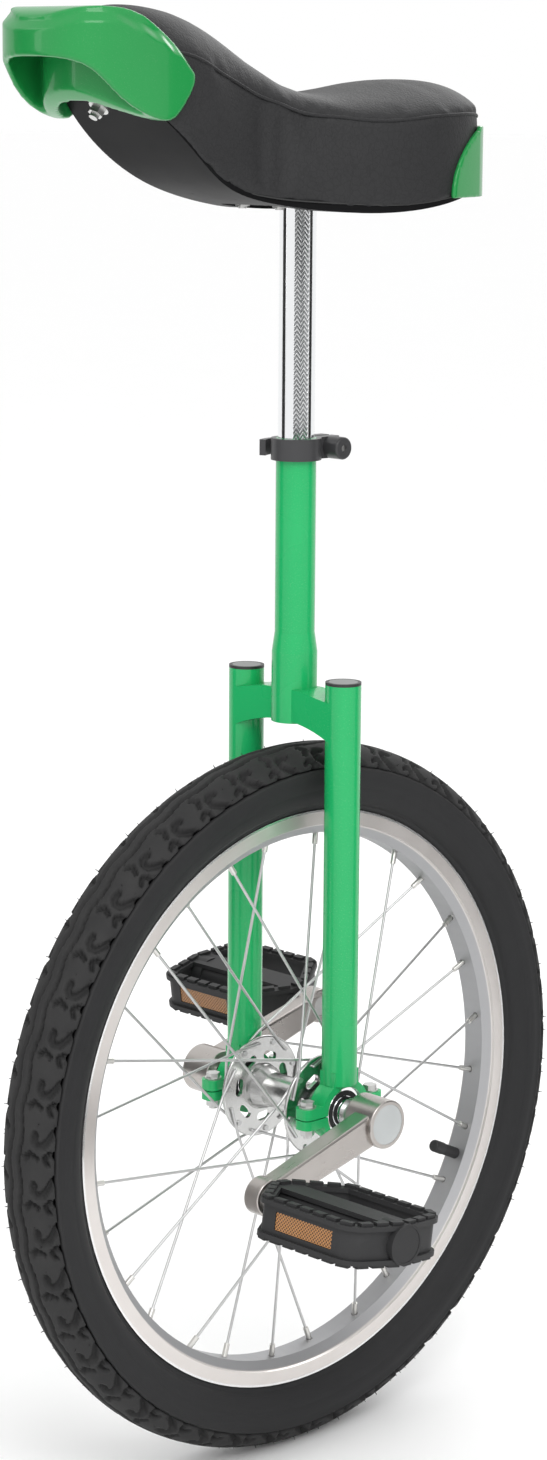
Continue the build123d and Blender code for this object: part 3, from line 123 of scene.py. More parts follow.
class StudioSettings(bpy.types.PropertyGroup):
    """Floor, lights and camera."""
    floor_colour: FloatVectorProperty(
        name="Floor", description="Colour of the floor and backdrop",
        subtype="COLOR", size=4, min=0, max=1, default=(0.997, 0.997, 0.997, 1))
    key_power: FloatProperty(
        name="Key light", description="Power of the main soft light",
        unit="POWER", min=0, default=38.0)
    fill_power: FloatProperty(
        name="Fill light", description="Power of the light from the other side",
        unit="POWER", min=0, default=16.0)
    card_distance: FloatProperty(
        name="Dark cards", description="Distance of the dark cards that chrome reflects",
        unit="LENGTH", min=0.4, max=5, default=0.95)
    sky_strength: FloatProperty(
        name="Surroundings", description="Strength of the light from all round",
        min=0, max=5, default=1.0)


# ------------------------------------------------------------- shader maths
class Signal:
    """A shader socket that can be used in sums."""

    def __init__(self, shader, socket):
        self.shader = shader
        self.socket = socket

    def maths(self, operation, *values):
        return self.shader.node("ShaderNodeMath", {"operation": operation}, dict(enumerate(values)))

    def __add__(self, other):
        return self.maths("ADD", self, other)

    def __radd__(self, other):
        return self.maths("ADD", other, self)

    def __sub__(self, other):
        return self.maths("SUBTRACT", self, other)

    def __rsub__(self, other):
        return self.maths("SUBTRACT", other, self)

    def __mul__(self, other):
        return self.maths("MULTIPLY", self, other)

    def __rmul__(self, other):
        return self.maths("MULTIPLY", other, self)

    def __pow__(self, other):
        return self.maths("POWER", self, other)

    def size(self):
        return self.maths("ABSOLUTE", self)

    def sine(self):
        return self.maths("SINE", self)

    def larger(self, other):
        return self.maths("MAXIMUM", self, other)

    def step(self, start, end):
        """0 below start, 1 above end, smooth between them."""
        return self.shader.node(
            "ShaderNodeMapRange", {"interpolation_type": "SMOOTHSTEP"},
            {"Value": self, "From Min": start, "From Max": end}, "Result")


class Shader:
    """A material with one Principled surface, built from expressions."""

    def __init__(self, name):
        self.material = bpy.data.materials.new(name)
        self.material.use_nodes = True
        self.tree = self.material.node_tree
        self.tree.nodes.clear()
        self.surface = self.tree.nodes.new("ShaderNodeBsdfPrincipled")
        output = self.tree.nodes.new("ShaderNodeOutputMaterial")
        self.tree.links.new(self.surface.outputs["BSDF"], output.inputs["Surface"])
        self.places = None

    def node(self, kind, settings=None, inputs=None, output=0):
        made = self.tree.nodes.new(kind)
        for key, value in (settings or {}).items():
            setattr(made, key, value)
        self.connect(made, inputs or {})
        return Signal(self, made.outputs[output])

    def connect(self, made, inputs):
        for key, value in inputs.items():
            if isinstance(value, Signal):
                self.tree.links.new(value.socket, made.inputs[key])
            else:
                made.inputs[key].default_value = value

    def set(self, **values):
        """Feeds the surface: names are the socket's, with _ for a space."""
        self.connect(self.surface, {key.replace("_", " "): value for key, value in values.items()})
        return self.material

    def position(self):
        if self.places is None:
            self.places = self.node("ShaderNodeTexCoord", None, None, "Object")
        return self.places

    def axes(self, place=None):
        split = self.node("ShaderNodeSeparateXYZ", None, {0: place or self.position()})
        outputs = split.socket.node.outputs
        return [Signal(self, outputs[name]) for name in "XYZ"]

    def stretched(self, x, y, z):
        return self.node("ShaderNodeMapping", None, {"Vector": self.position(), "Scale": (x, y, z)})

    def noise(self, scale, detail=2.0, place=None):
        return self.node("ShaderNodeTexNoise", None,
                         {"Vector": place or self.position(), "Scale": scale, "Detail": detail}, 0)

    def cells(self, scale, feature="F1", place=None):
        return self.node("ShaderNodeTexVoronoi", {"feature": feature},
                         {"Vector": place or self.position(), "Scale": scale}, "Distance")

    def mix(self, factor, first, second):
        return self.node("ShaderNodeMix", {"data_type": "RGBA"}, {0: factor, 6: first, 7: second}, 2)

    def bump(self, height, distance, strength=1.0, under=None):
        inputs = {"Height": height, "Distance": distance, "Strength": strength}
        if under is not None:
            inputs["Normal"] = under
        return self.node("ShaderNodeBump", None, inputs)

    def from_axle(self):
        """Distance from the wheel's axle."""
        _, y, z = self.axes()
        up = z - axle_height
        return (y * y + up * up) ** 0.5


def shade(colour, factor):
    return tuple(min(1.0, part * factor) for part in colour[:3]) + (1.0,)


# ----------------------------------------------------------------- materials
def gloss_paint(name, colour, roughness=0.22):
    shader = Shader(name)
    drift = shader.noise(9.0, 3.0)
    peel = shader.noise(420.0, 2.0)
    dust = shader.noise(1900.0, 1.0).step(0.66, 0.74)
    colours = shader.mix(drift, shade(colour, 0.90), shade(colour, 1.10))
    return shader.set(Base_Color=shader.mix(dust * 0.10, colours, (0.5, 0.55, 0.5, 1)),
                      Roughness=roughness + 0.10 * drift + 0.12 * dust,
                      Specular_IOR_Level=0.25, Coat_Weight=0.35, Coat_Roughness=0.07,
                      Normal=shader.bump(peel, 0.00012, 0.35))


def steel(name, colour, roughness=0.28, grain=(40.0, 1400.0, 1400.0)):
    shader = Shader(name)
    lines = shader.noise(1.0, 2.0, shader.stretched(*grain))
    spots = shader.noise(60.0, 3.0)
    return shader.set(Base_Color=shader.mix(spots, shade(colour, 0.88), shade(colour, 1.06)), Metallic=1.0,
                      Roughness=roughness + 0.14 * lines + 0.05 * spots,
                      Normal=shader.bump(lines, 0.00004, 0.4))


def chrome(name, colour=(0.86, 0.87, 0.88, 1)):
    shader = Shader(name)
    haze = shader.noise(35.0, 4.0)
    pits = shader.cells(900.0).step(0.05, 0.13)
    return shader.set(Base_Color=shader.mix(haze, shade(colour, 0.93), colour), Metallic=1.0,
                      Roughness=0.05 + 0.07 * haze + 0.10 * (1.0 - pits),
                      Normal=shader.bump(pits, 0.00002, 0.3))


def knurled_chrome(name):
    """The post: polished all round, with an upright knurled strip facing front left."""
    shader = Shader(name)
    x, y, z = shader.axes()
    haze = shader.noise(35.0, 4.0)
    across = (x + y) * 0.7071
    facing = (x - y) * 0.7071
    strip = (1.0 - (across - 0.0030).size().step(0.0044, 0.0050)) * facing.step(0.001, 0.004)
    wave = (across * 420.0).maths("PINGPONG", across * 420.0, 1.0)
    zigzag = ((z * 300.0 + wave * 1.1) * tau).sine()
    # The knurl's valleys are mixed to a dark grey in the base colour below: painted shade in the recesses.
    valley = strip * zigzag.step(-0.2, 0.6)
    polish = shader.bump(haze, 0.00001, 0.2)
    return shader.set(Base_Color=shader.mix(valley * 0.85, (0.88, 0.89, 0.90, 1), (0.26, 0.27, 0.28, 1)),
                      Metallic=1.0, Roughness=0.06 + 0.06 * haze + strip * 0.22,
                      Normal=shader.bump(zigzag * strip, 0.0007, 1.0, polish))


def moulded(name, colour, roughness=0.5, grain=1500.0, depth=0.00008, shine=0.3):
    shader = Shader(name)
    texture = shader.noise(grain, 2.0)
    drift = shader.noise(22.0, 3.0)
    scuff = shader.noise(90.0, 5.0).step(0.62, 0.80)
    colours = shader.mix(drift, shade(colour, 0.85), shade(colour, 1.18))
    return shader.set(Base_Color=shader.mix(scuff * 0.20, colours, shade(colour, 2.2)),
                      Roughness=roughness + 0.12 * drift + 0.10 * scuff, Specular_IOR_Level=shine,
                      Normal=shader.bump(texture, depth, 0.6))


def grained_vinyl(name, colour):
    shader = Shader(name)
    bent = shader.node("ShaderNodeMix", {"data_type": "VECTOR"},
                       {0: 0.0025, 4: shader.position(),
                        5: shader.node("ShaderNodeTexNoise", None,
                                       {"Vector": shader.position(), "Scale": 300.0}, 1)}, 1)
    pebbles = shader.cells(620.0, "SMOOTH_F1", bent)
    pores = shader.noise(2600.0, 2.0)
    wear = shader.noise(14.0, 4.0)
    creases = shader.cells(210.0, "DISTANCE_TO_EDGE", bent).step(0.0, 0.12)
    colours = shader.mix(wear, shade(colour, 0.82), shade(colour, 1.30))
    # The base colour is darkened to half along the crease lines: painted shade in the creases.
    return shader.set(Base_Color=shader.mix((1.0 - creases) * 0.35, colours, shade(colour, 0.5)),
                      Roughness=0.46 + 0.14 * wear + 0.08 * pores, Specular_IOR_Level=0.3,
                      Normal=shader.bump(1.0 - pebbles, 0.00028, 0.75,
                                         shader.bump(creases, 0.0001, 0.5)))


def tyre_rubber(name, colour):
    shader = Shader(name)
    radius = shader.from_axle()
    grain = shader.noise(1700.0, 2.0)
    dust = shader.noise(55.0, 5.0)
    tread = radius.step(tyre_radius - 0.022, tyre_radius - 0.010)
    rings = (radius * (tau * 900.0)).sine() * (1.0 - tread) * 0.25
    colours = shader.mix(dust, shade(colour, 0.82), shade(colour, 1.35))
    # Over the tread the dust noise mixes in a lighter grey: partly dust, partly a painted sheen on the
    # tread.
    return shader.set(Base_Color=shader.mix(tread * dust * 0.5, colours, (0.050, 0.049, 0.047, 1)),
                      Roughness=0.60 + 0.16 * dust + 0.08 * tread, Specular_IOR_Level=0.3,
                      Normal=shader.bump(grain + rings, 0.00009, 0.6))


def rim_alloy(name):
    """Polished edge, warm satin side walls with fine turning lines, greyer spoke bed."""
    shader = Shader(name)
    radius = shader.from_axle()
    lines = (radius * (tau * 2600.0)).sine() * 0.5 + 0.5
    drift = shader.noise(30.0, 4.0)
    edge = radius.step(rim_radius - 0.0022, rim_radius - 0.0008)
    bed = 1.0 - radius.step(rim_radius - 0.0122, rim_radius - 0.0108)
    wall = shader.mix(drift, (0.70, 0.655, 0.63, 1), (0.80, 0.765, 0.74, 1))
    colours = shader.mix(bed, wall, (0.40, 0.40, 0.41, 1))
    return shader.set(Base_Color=shader.mix(edge, colours, (0.86, 0.86, 0.86, 1)), Metallic=0.92,
                      Roughness=0.30 + 0.08 * lines + 0.08 * drift + 0.10 * bed - 0.16 * edge,
                      Normal=shader.bump(lines, 0.00003, 0.35))


def crank_alloy(name):
    shader = Shader(name)
    haze = shader.noise(26.0, 4.0)
    hairlines = shader.noise(1.0, 2.0, shader.stretched(900.0, 60.0, 500.0))
    return shader.set(Base_Color=shader.mix(haze, (0.42, 0.39, 0.37, 1), (0.54, 0.51, 0.485, 1)),
                      Metallic=1.0, Roughness=0.20 + 0.10 * haze + 0.08 * hairlines,
                      Normal=shader.bump(hairlines, 0.00003, 0.3))


def amber_prisms(name, colour):
    """Reflector lens: small prisms under a smooth amber face."""
    shader = Shader(name)
    x, _, z = shader.axes()
    first = ((x + z) * 760.0).maths("PINGPONG", (x + z) * 760.0, 1.0)
    second = ((x - z) * 760.0).maths("PINGPONG", (x - z) * 760.0, 1.0)
    prism = first.larger(second)
    # Prism ridges get a lit copy of the amber and the rest a shaded one: painted glints and shade of the
    # facets.
    painted_glint = prism.step(0.35, 0.95)
    return shader.set(Base_Color=shader.mix(painted_glint, shade(colour, 0.22), shade(colour, 1.55)),
                      Roughness=0.22 + 0.10 * painted_glint, Coat_Weight=0.3, Coat_Roughness=0.05,
                      Normal=shader.bump(prism, 0.0005, 0.7))


def grey_cap(name):
    """End cap of a leg: a grey disc with a dark edge."""
    shader = Shader(name)
    x, y, _ = shader.axes()
    off = x.size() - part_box("leg_end_caps")[1].x + 0.0125
    reach = (off * off + y * y) ** 0.5
    rim_band = reach.step(0.0098, 0.0104)
    drift = shader.noise(80.0, 3.0)
    face = shader.mix(drift, (0.19, 0.19, 0.19, 1), (0.25, 0.25, 0.25, 1))
    return shader.set(Base_Color=shader.mix(rim_band, face, (0.02, 0.02, 0.02, 1)),
                      Roughness=0.42 + 0.15 * drift,
                      Normal=shader.bump(shader.noise(1500.0), 0.00005, 0.5))


def weave(name, colour, scale=1100.0):
    """Woven tape or open foam: small crossed ridges."""
    shader = Shader(name)
    x, y, z = shader.axes()
    ridges = (x * scale).sine() * ((y + z) * scale).sine()
    drift = shader.noise(40.0, 4.0)
    return shader.set(Base_Color=shader.mix(drift, shade(colour, 0.8), shade(colour, 1.1)),
                      Roughness=0.8 + 0.1 * drift, Normal=shader.bump(ridges, 0.00015, 0.6))


def make_materials():
    """One material for each of the record's slots, and a few for new pieces."""
    tones = bpy.context.scene.unicycle_finish
    green = tuple(tones.frame_colour)
    dark = tuple(tones.pedal_colour)
    rubber = tuple(tones.tyre_colour)
    return {
        "frame_paint": gloss_paint("green frame paint", green),
        "cap_grey": grey_cap("grey end cap"),
        "bolt_black": moulded("blackened steel", (0.030, 0.030, 0.032, 1), 0.32, 900.0, 0.00003),
        "steel": steel("zinc plated steel", (0.62, 0.62, 0.61, 1)),
        "chrome": chrome("bearing chrome"),
        "post_chrome": knurled_chrome("knurled chrome"),
        "clamp_black": moulded("black anodised clamp", (0.045, 0.045, 0.047, 1), 0.30, 1100.0, 0.00003),
        "rim_alloy": rim_alloy("turned rim alloy"),
        "rim_strip": weave("rim tape weave", (0.22, 0.05, 0.04, 1)),
        "tyre_rubber": tyre_rubber("tyre rubber", rubber),
        "tube_rubber": moulded("butyl rubber", (0.020, 0.020, 0.021, 1), 0.6),
        "valve_rubber": moulded("valve rubber", (0.022, 0.022, 0.023, 1), 0.55),
        "valve_plastic": moulded("black cap plastic", (0.022, 0.022, 0.023, 1), 0.38),
        "spoke_steel": steel("drawn spoke wire", (0.58, 0.58, 0.58, 1), 0.24, (300.0, 300.0, 300.0)),
        "nipple_brass": steel("plated nipples", (0.70, 0.69, 0.66, 1), 0.22),
        "hub_alloy": steel("polished hub alloy", (0.64, 0.64, 0.63, 1), 0.14, (300.0, 300.0, 300.0)),
        "cap_silver": moulded("silver cap plastic", (0.47, 0.49, 0.49, 1), 0.34, 900.0, 0.00003),
        "crank_alloy": crank_alloy("polished crank alloy"),
        "pedal_plastic": moulded("pedal plastic", dark, 0.52, 1300.0, 0.00010),
        "bush_nylon": moulded("nylon", (0.55, 0.54, 0.48, 1), 0.45),
        "reflector_amber": amber_prisms("amber prisms", tuple(tones.reflector_colour)),
        "saddle_vinyl": grained_vinyl("grained vinyl", tuple(tones.vinyl_colour)),
        "saddle_padding": weave("saddle foam", (0.60, 0.56, 0.42, 1), 700.0),
        # Darker than the other black plastics so the tray stays dark under the saddle despite the floor's
        # bounce light: black plastic with painted shade.
        "saddle_tray": moulded("saddle tray plastic", (0.006, 0.006, 0.0065, 1), 0.40, shine=0.06),
        "bumper_green": gloss_paint("bumper plastic", tuple(tones.bumper_colour), 0.26),
    }


# -------------------------------------------------------------------- helpers
materials = {}


def finish(slot):
    """The slot's material, made the first time that any is asked for."""
    if not materials:
        materials.update(make_materials())
    return materials[slot]


def add_piece(name, shape, slot, body, replaced=()):
    """Links a finished mesh as a piece that rides on a body."""
    mesh = bpy.data.meshes.new(name)
    shape.to_mesh(mesh)
    shape.free()
    piece = bpy.data.objects.new(name, mesh)
    bpy.context.scene.collection.objects.link(piece)
    mesh.materials.append(finish(slot))
    mesh.shade_smooth()
    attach(piece, body)
    if replaced:
        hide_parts(*replaced)
    return piece


def modifier(piece, kind, **settings):
    made = piece.modifiers.new(kind.title(), kind)
    for key, value in settings.items():
        setattr(made, key, value)
    return made


def apply_modifiers(piece):
    """Makes the piece's evaluated shape its own mesh."""
    bpy.context.view_layer.update()
    shown = piece.evaluated_get(bpy.context.evaluated_depsgraph_get())
    mesh = bpy.data.meshes.new_from_object(shown)
    piece.modifiers.clear()
    piece.data = mesh


def merged_copy(*names):
    """The named CAD nodes' shapes as one bmesh with shared corners."""
    shape = bmesh.new()
    for name in names:
        shape.from_mesh(nodes[name].data)
    bmesh.ops.remove_doubles(shape, verts=shape.verts, dist=0.00002)
    return shape


def tube(name, points, radius, slot, body, closed=True):
    """A round piping or line through points."""
    line = bpy.data.curves.new(name, "CURVE")
    line.dimensions = "3D"
    line.bevel_depth = radius
    line.bevel_resolution = 3
    spline = line.splines.new("NURBS")
    spline.points.add(len(points) - 1)
    for place, point in zip(points, spline.points):
        point.co = (*place, 1.0)
    spline.order_u = 4
    spline.use_cyclic_u = closed
    spline.use_endpoint_u = not closed
    spline.resolution_u = 4
    holder = bpy.data.objects.new(name, line)
    bpy.context.scene.collection.objects.link(holder)
    bpy.context.view_layer.update()
    shown = holder.evaluated_get(bpy.context.evaluated_depsgraph_get())
    shape = bmesh.new()
    mesh = bpy.data.meshes.new_from_object(shown)
    shape.from_mesh(mesh)
    bpy.data.meshes.remove(mesh)
    bpy.data.objects.remove(holder)
    bmesh.ops.recalc_face_normals(shape, faces=shape.faces)
    return add_piece(name, shape, slot, body)


def between(value, table):
    """Smooth value of a table of (place, value) rows."""
    if value <= table[0][0]:
        return table[0][1]
    for (start, low), (end, high) in zip(table, table[1:]):
        if value <= end:
            share = (value - start) / (end - start)
            share = share * share * (3 - 2 * share)
            return low + (high - low) * share
    return table[-1][1]


# ----------------------------------------------------------------------- tyre
# Grooves of one pitch: (share of the pitch, mm outwards from the middle), width factor.
side_grooves = [
    ([(0.06, 33.0), (0.12, 29.0), (0.28, 25.6), (0.40, 22.0),
      (0.42, 18.0), (0.32, 15.0), (0.20, 15.6)], 1.0),
    ([(0.56, 26.6), (0.66, 22.8), (0.80, 25.8)], 0.62),
    ([(0.66, 9.2), (0.58, 12.8), (0.66, 17.6)], 0.68),
    ([(0.58, 33.0), (0.60, 30.2)], 1.0),
    ([(0.0, 4.6), (0.25, 6.0), (0.5, 4.6), (0.75, 3.2), (1.0, 4.6)], 0.60),
]
tread_reach = 31.0 * mm
squareness = 2.25
crown_height = 24.6 * mm


def tyre_section(steps=90):
    """(distance from the crown, x, radius) down the side of the tyre, to its widest place."""
    rows = []
    walked = 0.0
    for index in range(steps + 1):
        turn = pi / 2 * index / steps
        x = tyre_half_width * sin(turn) ** (2 / squareness)
        radius = tyre_radius - crown_height + crown_height * cos(turn) ** (2 / squareness) if index < steps \
            else tyre_radius - crown_height
        if rows:
            walked += ((x - rows[-1][1]) ** 2 + (radius - rows[-1][2]) ** 2) ** 0.5
        rows.append((walked, x, radius))
    return rows


def along_section(rows, distance):
    """Point and outward direction of the section at a distance from the crown."""
    for (start, x0, r0), (end, x1, r1) in zip(rows, rows[1:]):
        if distance <= end:
            share = (distance - start) / (end - start)
            way = Vector((r0 - r1, x1 - x0)).normalized()
            return x0 + (x1 - x0) * share, r0 + (r1 - r0) * share, way
    return rows[-1][1], rows[-1][2], Vector((1.0, 0.0))


def away_from(point, start, end):
    """Distance of a point from a line between two others."""
    run = end - start
    share = max(0.0, min(1.0, (point - start).dot(run) / run.length_squared))
    return (point - start - run * share).length


def groove_depth(share, across, pitch, settings):
    """Depth of the tread at a place of its pattern."""
    side_share = (share + (0.5 if across < 0 else 0.0)) % 1.0
    deepest = 0.0
    for path, factor in side_grooves:
        half = settings.groove_width * factor / 2
        for shift in (-1, 0, 1):
            line = [Vector(((u + shift) * pitch, w * mm)) for u, w in path]
            here = Vector((side_share * pitch, abs(across)))
            gap = min(away_from(here, a, b) for a, b in zip(line, line[1:]))
            deepest = max(deepest, min(1.0, max(0.0, (half + 0.5 * mm - gap) / (0.9 * mm))))
    return deepest * deepest * (3 - 2 * deepest) * settings.groove_depth


class UNICYCLE_OT_tyre(bpy.types.Operator):
    """Make the tyre: a tread with curved grooves and two side walls."""
    bl_idname = "unicycle.tyre"
    bl_label = "Tyre"

    def execute(self, context):
        settings = context.scene.unicycle_tyre
        rows = tyre_section()
        steps_along = 20
        steps_across = 56
        columns = settings.pitches * steps_along
        pitch = tau * tyre_radius / settings.pitches
        depths = {}
        for i in range(steps_along):
            for j in range(steps_across + 1):
                across = (2 * j / steps_across - 1) * tread_reach
                depths[i, j] = groove_depth(i / steps_along, across, pitch, settings)
        tread = bmesh.new()
        bmesh.ops.create_grid(tread, x_segments=columns, y_segments=steps_across, size=1.0)
        for vert in tread.verts:
            i = round((vert.co.x + 1) / 2 * columns)
            j = round((vert.co.y + 1) / 2 * steps_across)
            across = (2 * j / steps_across - 1) * tread_reach
            x, radius, way = along_section(rows, abs(across))
            side = 1 if across >= 0 else -1
            depth = depths[i % steps_along, j]
            if j in (0, steps_across):
                depth = settings.groove_depth * 1.6
            radius -= way.y * depth
            turn = tau * i / columns
            vert.co = (side * (x - way.x * depth), radius * cos(turn), axle_height + radius * sin(turn))
        bmesh.ops.remove_doubles(tread, verts=tread.verts, dist=0.00001)
        bmesh.ops.recalc_face_normals(tread, faces=tread.faces)

        edge_x, edge_radius, _ = along_section(rows, tread_reach)
        edge_x *= 1000
        edge_radius *= 1000
        widest = tyre_half_width * 1000
        foot = rim_radius * 1000
        profile = [
            (edge_x - 3.5, edge_radius - 1.0), (edge_x - 1.2, edge_radius - 0.2),
            (edge_x + 0.2, edge_radius - 1.0), (edge_x + 0.6, edge_radius - 1.9),
            (edge_x + 0.2, edge_radius - 2.8), (widest - 0.35, foot + 24.0), (widest - 0.3, foot + 21.5),
            (widest - 1.1, foot + 17.0), (widest - 1.5, foot + 16.4), (widest - 1.4, foot + 15.6),
            (widest - 3.2, foot + 11.0), (widest - 5.8, foot + 7.0), (widest - 8.6, foot + 4.2),
            (widest - 9.6, foot + 3.9), (widest - 9.9, foot + 3.0), (widest - 11.2, foot + 1.2),
            (widest - 12.6, foot + 0.4), (widest - 13.2, foot - 2.5), (widest - 13.2, foot - 6.0),
            (widest - 15.6, foot - 6.0), (widest - 15.6, foot), (widest - 10.8, foot + 8.0),
            (widest - 5.2, foot + 20.0), (edge_x - 5.0, edge_radius - 5.0),
        ]
        for side in (1, -1):
            wall = bmesh.new()
            ring = [wall.verts.new((side * x * mm, r * mm, axle_height)) for x, r in profile]
            edges = [wall.edges.new(pair) for pair in zip(ring, ring[1:] + ring[:1])]
            bmesh.ops.spin(wall, geom=ring + edges, cent=(0, 0, axle_height), axis=(1, 0, 0),
                           angle=tau, steps=230, use_merge=True)
            bmesh.ops.recalc_face_normals(wall, faces=wall.faces)
            holder = bpy.data.meshes.new("side wall")
            wall.to_mesh(holder)
            wall.free()
            tread.from_mesh(holder)
            bpy.data.meshes.remove(holder)
        self.mould_hairs(tread, rows, settings)
        add_piece("tyre_with_tread", tread, "tyre_rubber", "wheel", ["tyre"])
        return {"FINISHED"}

    def mould_hairs(self, tread, rows, settings):
        """Short rubber hairs that moulding leaves on the shoulders."""
        for index in range(settings.pitches * 2):
            for side, across in ((1, 0.0265), (-1, 0.0265), (1, 0.0160), (-1, 0.0160)):
                x, radius, way = along_section(rows, across + 0.0018 * sin(index * 2.3 + side))
                turn = tau * (index + 0.25 * sin(index * 5.1) + 0.2 * side) / (settings.pitches * 2)
                out = Vector((side * way.x, way.y * cos(turn), way.y * sin(turn)))
                root = Vector((side * x, radius * cos(turn), axle_height + radius * sin(turn)))
                length = settings.hair_length * (0.7 + 0.3 * sin(index * 3.7 + across * 900))
                place = Matrix.Translation(root + out * (length / 2 - 0.0006))
                bmesh.ops.create_cone(tread, segments=5, radius1=0.00045, radius2=0.00016, depth=length,
                                      matrix=place @ out.to_track_quat("Z", "Y").to_matrix().to_4x4())


# --------------------------------------------------------------------- saddle
def extent_by_y(node, pick, step=0.004):
    """A measure of a node's corners in slices along Y, as a table."""
    slices = {}
    for vert in nodes[node].data.vertices:
        slices.setdefault(round(vert.co.y / step), []).append(vert.co)
    return [(index * step, pick(corners)) for index, corners in sorted(slices.items())]


cover_low, cover_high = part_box("saddle_cover")
# How far the top falls from its middle to its edges, along the saddle.
crown_drops = [(-0.198, 0.030), (-0.155, 0.027), (-0.103, 0.033), (-0.076, 0.033), (-0.050, 0.026),
               (-0.011, 0.015), (0.040, 0.018), (0.080, 0.020), (0.138, 0.020)]


class Outline:
    """Widths and heights of the saddle, read from its CAD nodes."""

    def __init__(self):
        self.widths = self.fill(extent_by_y("saddle_cover", lambda c: max(abs(p.x) for p in c)), max)
        self.tops = self.fill(extent_by_y("saddle_cover", lambda c: max(p.z for p in c)), max)
        self.floors = self.fill(extent_by_y("saddle_cover", lambda c: min(p.z for p in c)), min)

    def fill(self, table, pick):
        """Each value smoothed over its neighbours, ignoring thin slices."""
        result = []
        for index in range(len(table)):
            near = table[max(0, index - 2):index + 3]
            result.append((table[index][0], pick(value for place, value in near)))
        smooth = []
        for index in range(len(result)):
            near = [value for place, value in result[max(0, index - 3):index + 4]]
            smooth.append((result[index][0], sum(near) / len(near)))
        return smooth

    def width(self, y):
        return between(y, self.widths)

    def top(self, y):
        return between(y, self.tops)

    def floor(self, y):
        return between(y, self.floors)

    def crowned(self, place):
        """A place of the flat-topped block, moved to the crowned shape."""
        floor = self.floor(place.y)
        top = self.top(place.y)
        share = min(1.0, abs(place.x) / self.width(place.y))
        ends = max(0.0, (place.y - cover_high.y + 0.035) / 0.035, (cover_low.y + 0.030 - place.y) / 0.030)
        share = min(1.0, (share ** 3 + min(1.0, ends) ** 3) ** (1 / 3))
        drop = between(place.y, crown_drops) * share ** 2.6
        squeeze = 1.0 - drop / max(0.03, top - floor)
        return Vector((place.x, place.y, floor + (place.z - floor) * squeeze))


# Radius of the rolled lower edge of the cover.
hem_radius = 0.0006


def saddle_guard(place):
    """1 where the bumpers and the tray hold the cover still, 0 where it is free."""
    nose = max(0.0, min(1.0, (-0.128 - place.y) / 0.012))
    tail = max(0.0, min(1.0, (place.y - 0.078) / 0.012))
    return max(nose, tail)


